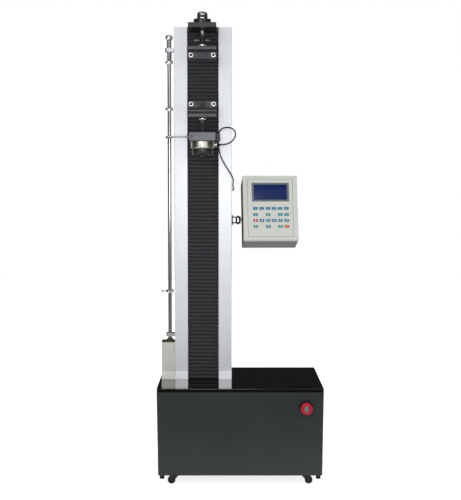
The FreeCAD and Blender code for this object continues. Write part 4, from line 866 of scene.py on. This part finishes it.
# %% Knurled pads
def knurl(name, width, height, pitch, deep, base, place):
    """A plate whose face is a grid of pyramids, all in mm."""
    across, up = round(width / pitch), round(height / pitch)
    work = bmesh.new()
    grid = []
    for j in range(up + 1):
        y = height * (j / up - 0.5)
        row = [work.verts.new((width * (i / across - 0.5), y, base)) for i in range(across + 1)]
        grid.append(row)
    for j in range(up):
        for i in range(across):
            corners = (grid[j][i], grid[j][i + 1], grid[j + 1][i + 1], grid[j + 1][i])
            middle = sum((corner.co for corner in corners), Vector()) / 4
            tip = work.verts.new(middle + Vector((0, 0, deep)))
            for a, b in zip(corners, corners[1:] + corners[:1]):
                work.faces.new((a, b, tip))
    edge = grid[0][:-1] + [row[-1] for row in grid[:-1]]
    edge += grid[-1][:0:-1] + [row[0] for row in grid[:0:-1]]
    low = [work.verts.new((corner.co.x, corner.co.y, 0)) for corner in edge]
    skin(work, low, edge)
    work.faces.new(list(reversed(low)))
    bmesh.ops.recalc_face_normals(work, faces=work.faces)
    return built(name, work, knurl_grey, TO_METRES @ place)


knurl_grey = surface("knurl_grey", (0.165, 0.165, 0.175), 0.38, 0.6, drift=(0.25, 150))
for grip, level in JAW_LEVELS.items():
    place = facing((GRIP_X, JAW_FRONT + 0.1, level), FRONT)
    pad = knurl(f"{grip}_jaw_knurl", 44, 21, 2.2, 0.7, 0.5, place)
    dress(pad, f"{grip}_jaw", "black_steel")

# %% The lower jaw's ring and bar
jaw_place = facing((GRIP_X, JAW_FRONT - 0.4, 1228.6), FRONT)
ring = band("pin_ring", ring_of(6.6, 24), ring_of(4.1, 24), 0, 1.1, black_plastic, jaw_place)
slot_line = rounded(15, 2.8, 0.6, centre=(0, -9.6))
slot_mark = plate("pin_slot", slot_line, 1.0, black_plastic, jaw_place)
dress(joined("lower_jaw_pin", [ring, slot_mark]), "lower_jaw", "blackened_steel")

# %% The trip arm
LIMIT_ROD = (-234, -10)
TRIP_LEVEL = 1124.25
bar_place = facing((-203, -35, TRIP_LEVEL), FRONT)
flat = plate("trip_flat", rounded(76, 4.8, 1.2), 3, trip_steel, bar_place, 0.4)
shank_line = [(-238.5, -36), (-229.5, -36), (-229.5, -18), (-238.5, -18)]
shank_place = Matrix.Translation((0, 0, TRIP_LEVEL - 2.4))
shank = plate("trip_shank", shank_line, 4.8, trip_steel, shank_place, 0.4)
dress(joined("trip_strip", [flat, shank]), "crosshead", "bright_steel", "trip_arm")
eye_place = Matrix.Translation((*LIMIT_ROD, TRIP_LEVEL))
eye = band("trip_eye", ring_of(12, 40), ring_of(7.5, 40), -3.4, 3.4, dark_steel, eye_place)
dress(eye, "crosshead", "bright_steel", "trip_arm")

# %% [markdown]
# ## Spindles
# A threaded stud hangs each grip. On the top bracket sit a bright washer, a dark hexagon and a grey
# domed cap. Below them come a cap nut, a lock nut, a dark wing nut with bright strips along the
# tops of its wings as a painted highlight, and a collar nut on the grip. They are turned shapes,
# and only the hexagons and the wings are cut from outlines. Dark oiled studs set off the bright
# nuts.

# %% Upper spindle
SPINDLE = (GRIP_X, -94)


def on_spindle(name, outline, material, angle=35):
    """A turned piece on the grips' axis, with heights over the floor and its grip in its name."""
    piece = turned(name, outline, material, (*SPINDLE, 0), sides=40, angle=angle)
    grip = name.split("_")[0]
    body = "frame" if grip == "upper" else "crosshead"
    return dress(piece, body, "bright_steel", f"{grip}_spindle")


def barrel(low, radius=11.5, high=9.4, bore=4.2):
    """Outline of a collar nut with a full, round side."""
    line = [(bore, low)]
    for i in range(9):
        turn = pi * (i / 8 - 0.5)
        side = radius - 3 + 3 * cos(turn)
        line.append((side, low + high / 2 + high / 2 * sin(turn)))
    return line + [(bore, low + high), (bore, low)]


stud = [(0, 1411)] + thread(4.5, 1411, 1468) + [(4.4, 1498.5), (0, 1498.5)]
on_spindle("upper_stud", stud, stud_dark)
on_spindle("upper_collar_nut", barrel(1410.05), chrome)
cap_nut = [(4.2, 1455), (6.2, 1455), (6.5, 1455.7), (6.5, 1461), (5.7, 1464.6), (4.2, 1466.6)]
on_spindle("upper_cap_nut", cap_nut + [(4.2, 1455)], nickel)
flange = [(0, 1498.1), (14.6, 1498.1), (16.6, 1499), (17, 1500.6), (17, 1502.2), (0, 1502.6)]
on_spindle("upper_flange", flange, chrome, 50)
dome = [(0, 1510.2), (16.4, 1510.2), (16.9, 1511), (16.9, 1515.2), (16.2, 1518), (14.4, 1520.2)]
dome += [(11.4, 1521.5), (7, 1522), (0, 1522)]
on_spindle("upper_dome", dome, cap_grey, 50)

wing = [(5.5, 1427), (12, 1426.5), (24, 1426.1), (27, 1427), (28, 1429.5), (27.6, 1433)]
wing += [(25, 1435.5), (21, 1436), (15, 1434.2), (9, 1433.5), (5.5, 1434)]
hub = [(4.2, 1424), (7.4, 1424), (8, 1424.8), (8, 1429), (6.8, 1437.2), (6, 1438)]
wing_place = facing((SPINDLE[0], SPINDLE[1] + 2, 0), FRONT)
wing_parts = [
    turned("hub", hub + [(4.2, 1438), (4.2, 1424)], wing_dark, (*SPINDLE, 0), sides=40),
    plate("wing", wing, 4, wing_dark, wing_place, 1.3, 3),
    plate("wing", [(-x, z) for x, z in wing[::-1]], 4, wing_dark, wing_place, 1.3, 3),
]
dress(joined("upper_wing_nut", wing_parts), "frame", "bright_steel", "upper_spindle")
# Painted highlight: bright tubes along the top edges of the wings.
wing_highlights = []
for start, end in ((-27, -11), (11, 20)):
    line = [MM * (wing_place @ Vector((x, 1431.6, 3.4))) for x in (start, end)]
    wing_highlights.append(tube("edge", line, 1.2 * MM, satin_alloy, 12))
dress(joined("upper_wing_highlights", wing_highlights), "frame", "bright_steel", "upper_spindle")

nut_at = Matrix.Translation((*SPINDLE, 1448))
lock_nut = plate("upper_lock_nut", ring_of(9, 6, pi / 6), 7, ground_steel, nut_at, 0.6)
dress(lock_nut, "frame", "bright_steel", "upper_spindle")
hex_at = Matrix.Translation((*SPINDLE, 1502.4))
hex_head = plate("upper_hex", ring_of(17.3, 6), 8, cell_dark, hex_at, 0.9, 3)
dress(hex_head, "frame", "bright_steel", "upper_spindle")

# %% Lower spindle
stud = [(0, 1108.6)] + thread(4.5, 1108.6, 1168) + [(4.4, 1177), (0, 1177)]
on_spindle("lower_stud", stud, stud_dark)
check_nut = [(4.2, 1167.6), (6.4, 1167.6), (7, 1168.6), (7, 1175), (6.6, 1175.5), (4.2, 1175.5)]
on_spindle("lower_check_nut", check_nut + [(4.2, 1167.6)], dull_bronze)
on_spindle("lower_collar_nut", barrel(1175.6, high=9.3), chrome)

# %% [markdown]
# ## Force sensor
# The sensor is a pancake of satin nickel on a darker base disc, with bolts round its base and a
# boss for the plug. It could be one lathe shape, but the base has its own finish, so it's two.

# %% Force sensor
CELL = (*SPINDLE, 0)
cell_line = [(0, 1083.6), (36.6, 1083.6), (37.6, 1084.2), (38, 1085.2), (38, 1106.8)]
cell_line += [(37.6, 1107.9), (36.8, 1108.4), (0, 1108.4)]
cell_body = turned("sensor_body", cell_line, nickel, CELL, sides=96)
boss_line = [(0, 0), (7, 0), (7, 8.4), (6.4, 9), (6.4, 10), (0, 10)]
cell_boss = turned("sensor_boss", boss_line, nickel, (-90, -94, 1096), (1, 0, 0), 32)
dress(joined("sensor", [cell_body, cell_boss]), "crosshead", "bright_steel", "load_cell")

base_line = [(0, 1062.5), (30.5, 1062.5), (32.5, 1063.4), (34, 1066), (34, 1083.7), (0, 1083.7)]
cell_base = turned("sensor_base", base_line, cell_dark, CELL, sides=96)
nut_at = Matrix.Translation((*SPINDLE, 1056.6))
cell_nut = plate("sensor_nut", ring_of(11, 6), 6, cell_dark, nut_at, 0.7)
dress(joined("sensor_foot", [cell_base, cell_nut]), "crosshead", "blackened_steel", "load_cell")

cell_bolts = []
for k in range(8):
    turn = pi * (k + 0.5) / 4
    x, y = polar(24, turn)
    cell_bolts.append(((SPINDLE[0] + x, SPINDLE[1] + y, 1062.6), (0, 0, -1)))
cap_screws("sensor_bolts", cell_bolts, "crosshead", 3.6, 2.2, 3, cell_dark, "blackened_steel")

# %% [markdown]
# ## Springs
# Two coil springs hold the limit rod in the middle of its travel. Round wire is a tube along a
# helix. One end rests on the fixed guide and the other on a collar of the rod.

# %% Springs
def helix(low, high, radius, turns, steps=20):
    """Points of a helix round the limit rod, in metres."""
    line = []
    for i in range(turns * steps + 1):
        x, y = polar(radius, 2 * pi * i / steps)
        z = low + (high - low) * i / (turns * steps)
        line.append(Vector((LIMIT_ROD[0] + x, LIMIT_ROD[1] + y, z)) * MM)
    return line


for name, fixed, moving in (("upper_spring", 1416, 1444), ("lower_spring", 1404, 1376)):
    way = 1 if moving > fixed else -1
    line = helix(fixed + 1.4 * way, moving - 1.4 * way, 7.7, 5)
    spring = tube(name, line, 1.0 * MM, stud_dark, 10)
    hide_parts("centring_springs")
    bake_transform(spring)

# %% [markdown]
# ## Emergency stop
# The head is a red mushroom with a shallow dish. A pale disc with two arrows lies in the dish and
# says that the head turns to release. It's a thin plate, so that its edge catches a little light.

# %% Emergency stop
STOP = (211, -200, 255)
head_line = [(0, -5), (7, -5), (7, 11), (17.2, 11), (19.2, 11.7), (20, 13.2), (20, 18)]
head_line += [(19.3, 20.4), (17.6, 22.5), (15, 24), (12.4, 24.8), (10.6, 25), (10, 24.7)]
head_line += [(9.8, 24.2), (0, 24.2)]
stop_head = turned("stop_head", head_line, stop_red, STOP, FRONT, 72)
dress(stop_head, "estop_head", "red_plastic", "estop_head")


def arrow(radius, wide, start, sweep):
    """Outline of a bent arrow round the middle of the disc."""
    steps = 10
    turns = [start + sweep * i / steps for i in range(steps + 1)]
    outer = [polar(radius + wide / 2, turn) for turn in turns]
    inner = [polar(radius - wide / 2, turn) for turn in turns]
    end, tip = start + sweep, start + sweep + 0.45
    barb = wide * 1.2
    head = [polar(radius + barb, end), polar(radius, tip), polar(radius - barb, end)]
    return outer + head + inner[::-1]


disc_place = facing((STOP[0], -224.2, STOP[2]), FRONT)
disc = [(x * 0.72, y) for x, y in ring_of(9.6, 40)]
stop_disc = plate("stop_disc", disc, 0.35, mark_pale, disc_place, 0.12)
dress(stop_disc, "estop_head", "red_plastic")
arrow_place = facing((STOP[0], -224.5, STOP[2]), FRONT)
arrows = [
    plate("arrow", arrow(4.1, 1.7, start, 1.9), 0.25, mark_dark, arrow_place)
    for start in (0.4, 0.4 + pi)
]
dress(joined("stop_arrows", arrows), "estop_head", "red_plastic")

# %% [markdown]
# ## Controller
# The controller's face is a printed film with a window for the display. The keys are domes pressed
# into the film, so each is a thin plate with a soft edge. Digits and plain signs mark them. All of
# it is laid out flat and turned once to lie on the tilted face.

# %% The display and the film's edge
CASE_PLACE = (
    Matrix.Translation((12.9, -48, 783))
    @ Matrix.Rotation(math.radians(3), 4, "Z")
    @ Matrix.Rotation(math.radians(-18), 4, "X")
)


def on_face(x, y, z):
    """A place on the controller's face: x to the right, z up the face, y into the case."""
    return CASE_PLACE @ facing((x, y, z), FRONT)


FILM_FACE = 0.32
glass_place = on_face(92.5, 1.45, 166.9)
glass = plate("display_glass", rounded(111, 53.4, 1), 0.5, screen_blue, glass_place, 0.15)
dress(glass, "controller", "screen")
edge_place = on_face(91.5, FILM_FACE, 112.5)
edge_lines = (rounded(153, 201, 3), rounded(150.6, 198.6, 2))
film_edge = band("film_edge", *edge_lines, 0, 0.12, line_grey, edge_place)
dress(film_edge, "controller", "keypad_film")

# %% The keys
KEY_COLUMNS = (40.7, 61.8, 82.9, 103, 123.4, 144.5)
KEY_ROWS = (109.9, 88.4, 67.9, 47.2)
KEY_SIGNS = (
    ("1", "2", "3", "4", "5", "6"),
    ("7", "", "up", "", "8", "9"),
    ("square", "left", "0", "right", "10", "20"),
    ("50", "", "down", "", "100", "play"),
)
KEY_TEAL = {(1, 0), (1, 2), (1, 4), (1, 5), (2, 2), (2, 4), (3, 0), (3, 4)}
SIGN_SHAPES = {
    "up": [(-2.6, -1.9), (2.6, -1.9), (0, 2.5)],
    "down": [(-2.6, 1.9), (0, -2.5), (2.6, 1.9)],
    "left": [(1.9, -2.6), (1.9, 2.6), (-2.5, 0)],
    "right": [(-1.9, -2.6), (2.5, 0), (-1.9, 2.6)],
    "play": [(-1.9, -2.6), (2.5, 0), (-1.9, 2.6)],
    "square": [(-2.2, -2.2), (2.2, -2.2), (2.2, 2.2), (-2.2, 2.2)],
}


def number(text, size, place, material):
    """A printed number, a hair thick, centred on its place."""
    curve = bpy.data.curves.new("number", "FONT")
    curve.body = text
    curve.size = size
    curve.extrude = 0.06
    curve.align_x = "CENTER"
    curve.align_y = "CENTER"
    curve.resolution_u = 3
    holder = bpy.data.objects.new("number", curve)
    mesh = bpy.data.meshes.new_from_object(holder)
    mesh.transform(TO_METRES @ place)
    bpy.data.objects.remove(holder)
    bpy.data.curves.remove(curve)
    return finished("number", mesh, material)


keys = {word: [] for word in key_films}
signs = []
for row, z in enumerate(KEY_ROWS):
    for column, x in enumerate(KEY_COLUMNS):
        sign = KEY_SIGNS[row][column]
        if not sign:
            continue
        word = "teal" if (row, column) in KEY_TEAL else "blue"
        word = {"square": "red", "play": "orange"}.get(sign, word)
        place = on_face(x, FILM_FACE, z)
        keys[word].append(plate("key", rounded(16, 9.8, 2), 0.45, key_films[word], place, 0.2))
        place = on_face(x, -0.10, z)
        if sign in SIGN_SHAPES:
            signs.append(plate("sign", SIGN_SHAPES[sign], 0.1, print_pale, place))
        else:
            signs.append(number(sign, 6.5, place, print_pale))
for word, parts in keys.items():
    dress(joined(f"keys_{word}", parts), "controller", "keypad_film")
dress(joined("key_signs", signs), "controller", "keypad_film")

arcs = []
for quarter in range(4):
    start = pi / 2 * quarter + 0.5
    bend = []
    for radius, turns in ((15.6, range(9)), (15.0, range(8, -1, -1))):
        bend += [polar(radius, start + (pi / 2 - 1.0) * i / 8) for i in turns]
    arcs.append(plate("arc", bend, 0.1, line_green, on_face(82.9, FILM_FACE, 67.9)))
dress(joined("key_arcs", arcs), "controller", "keypad_film")
print("keys:", sum(1 for row in KEY_SIGNS for sign in row if sign))

# %% [markdown]
# ## Covers and small fasteners
# The back and the sides are seen too. Covers there are held by small screws in even rows, the mains
# inlet has its three blades, and the switch box has a dark lid round its gland.

# %% Screws on the covers
def even(low, high, count):
    """Even steps from low to high."""
    return [low + (high - low) * i / (count - 1) for i in range(count)]


def rows_on(node, inset, down):
    """Spots in two columns on a node's back, in mm."""
    low, high = (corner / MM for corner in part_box(node))
    spots = []
    for x in (low.x + inset, high.x - inset):
        spots += [((x, high.y, z), BACK) for z in even(low.z + inset, high.z - inset, down)]
    return spots


panel_spots = rows_on("rear_panel", 8, 4)
cap_screws("rear_panel_screws", panel_spots, "frame", 3.6, 2.0, 2.5)
cover_spots = rows_on("column_back_cover", 6, 7)
cap_screws("cover_screws", cover_spots, "frame", 3.6, 2.0, 2.5)

case_normal = tuple(CASE_PLACE.to_3x3() @ Vector(BACK))
case_spots = [
    (tuple(CASE_PLACE @ Vector((x, 100, z))), case_normal) for x in (10, 173) for z in (10, 215)
]
cap_screws("case_screws", case_spots, "controller", 3.2, 1.8, 2.5)

arm_spots = [((-65.5, y, 1117), (1, 0, 0)) for y in (-98, -60)]
cap_screws("arm_screws", arm_spots, "crosshead", 2.8, 1.6, 2.2)
set_place = facing((-155, -139, 1122), FRONT)
set_screw = band("arm_set_screw", ring_of(3.6, 24), hex_ring(3), -1, 0.15, dark_steel, set_place)
dress(set_screw, "crosshead", "blackened_steel")

# %% Mains inlet and switch box
blades = []
for x, z in ((173.2, 92.6), (186.8, 92.6), (180, 98.2)):
    place = facing((x, 187, z), BACK)
    blades.append(plate("blade", rounded(2, 4.4, 0.4), 13, nickel, place, 0.3))
dress(joined("inlet_blades", blades), "frame", "bright_steel")
inlet_spots = [((x, 203, 95), BACK) for x in (157.5, 202.5)]
cap_screws("inlet_screws", inlet_spots, "frame", 2.8, 1.4, 2)

lid_halves = []
lid_place = Matrix.Translation((-239.5, 0, 441))
for side in (-1, 1):
    half = [(0, -31 * side), (side * 22.5, -31 * side), (side * 22.5, 31 * side), (0, 31 * side)]
    half += [polar(side * 12.6, pi / 2 - pi * i / 8) for i in range(9)]
    lid_halves.append(plate("lid", half, 0.8, dull_bronze, lid_place))
dress(joined("switch_box_lid", lid_halves), "frame", "blackened_steel")
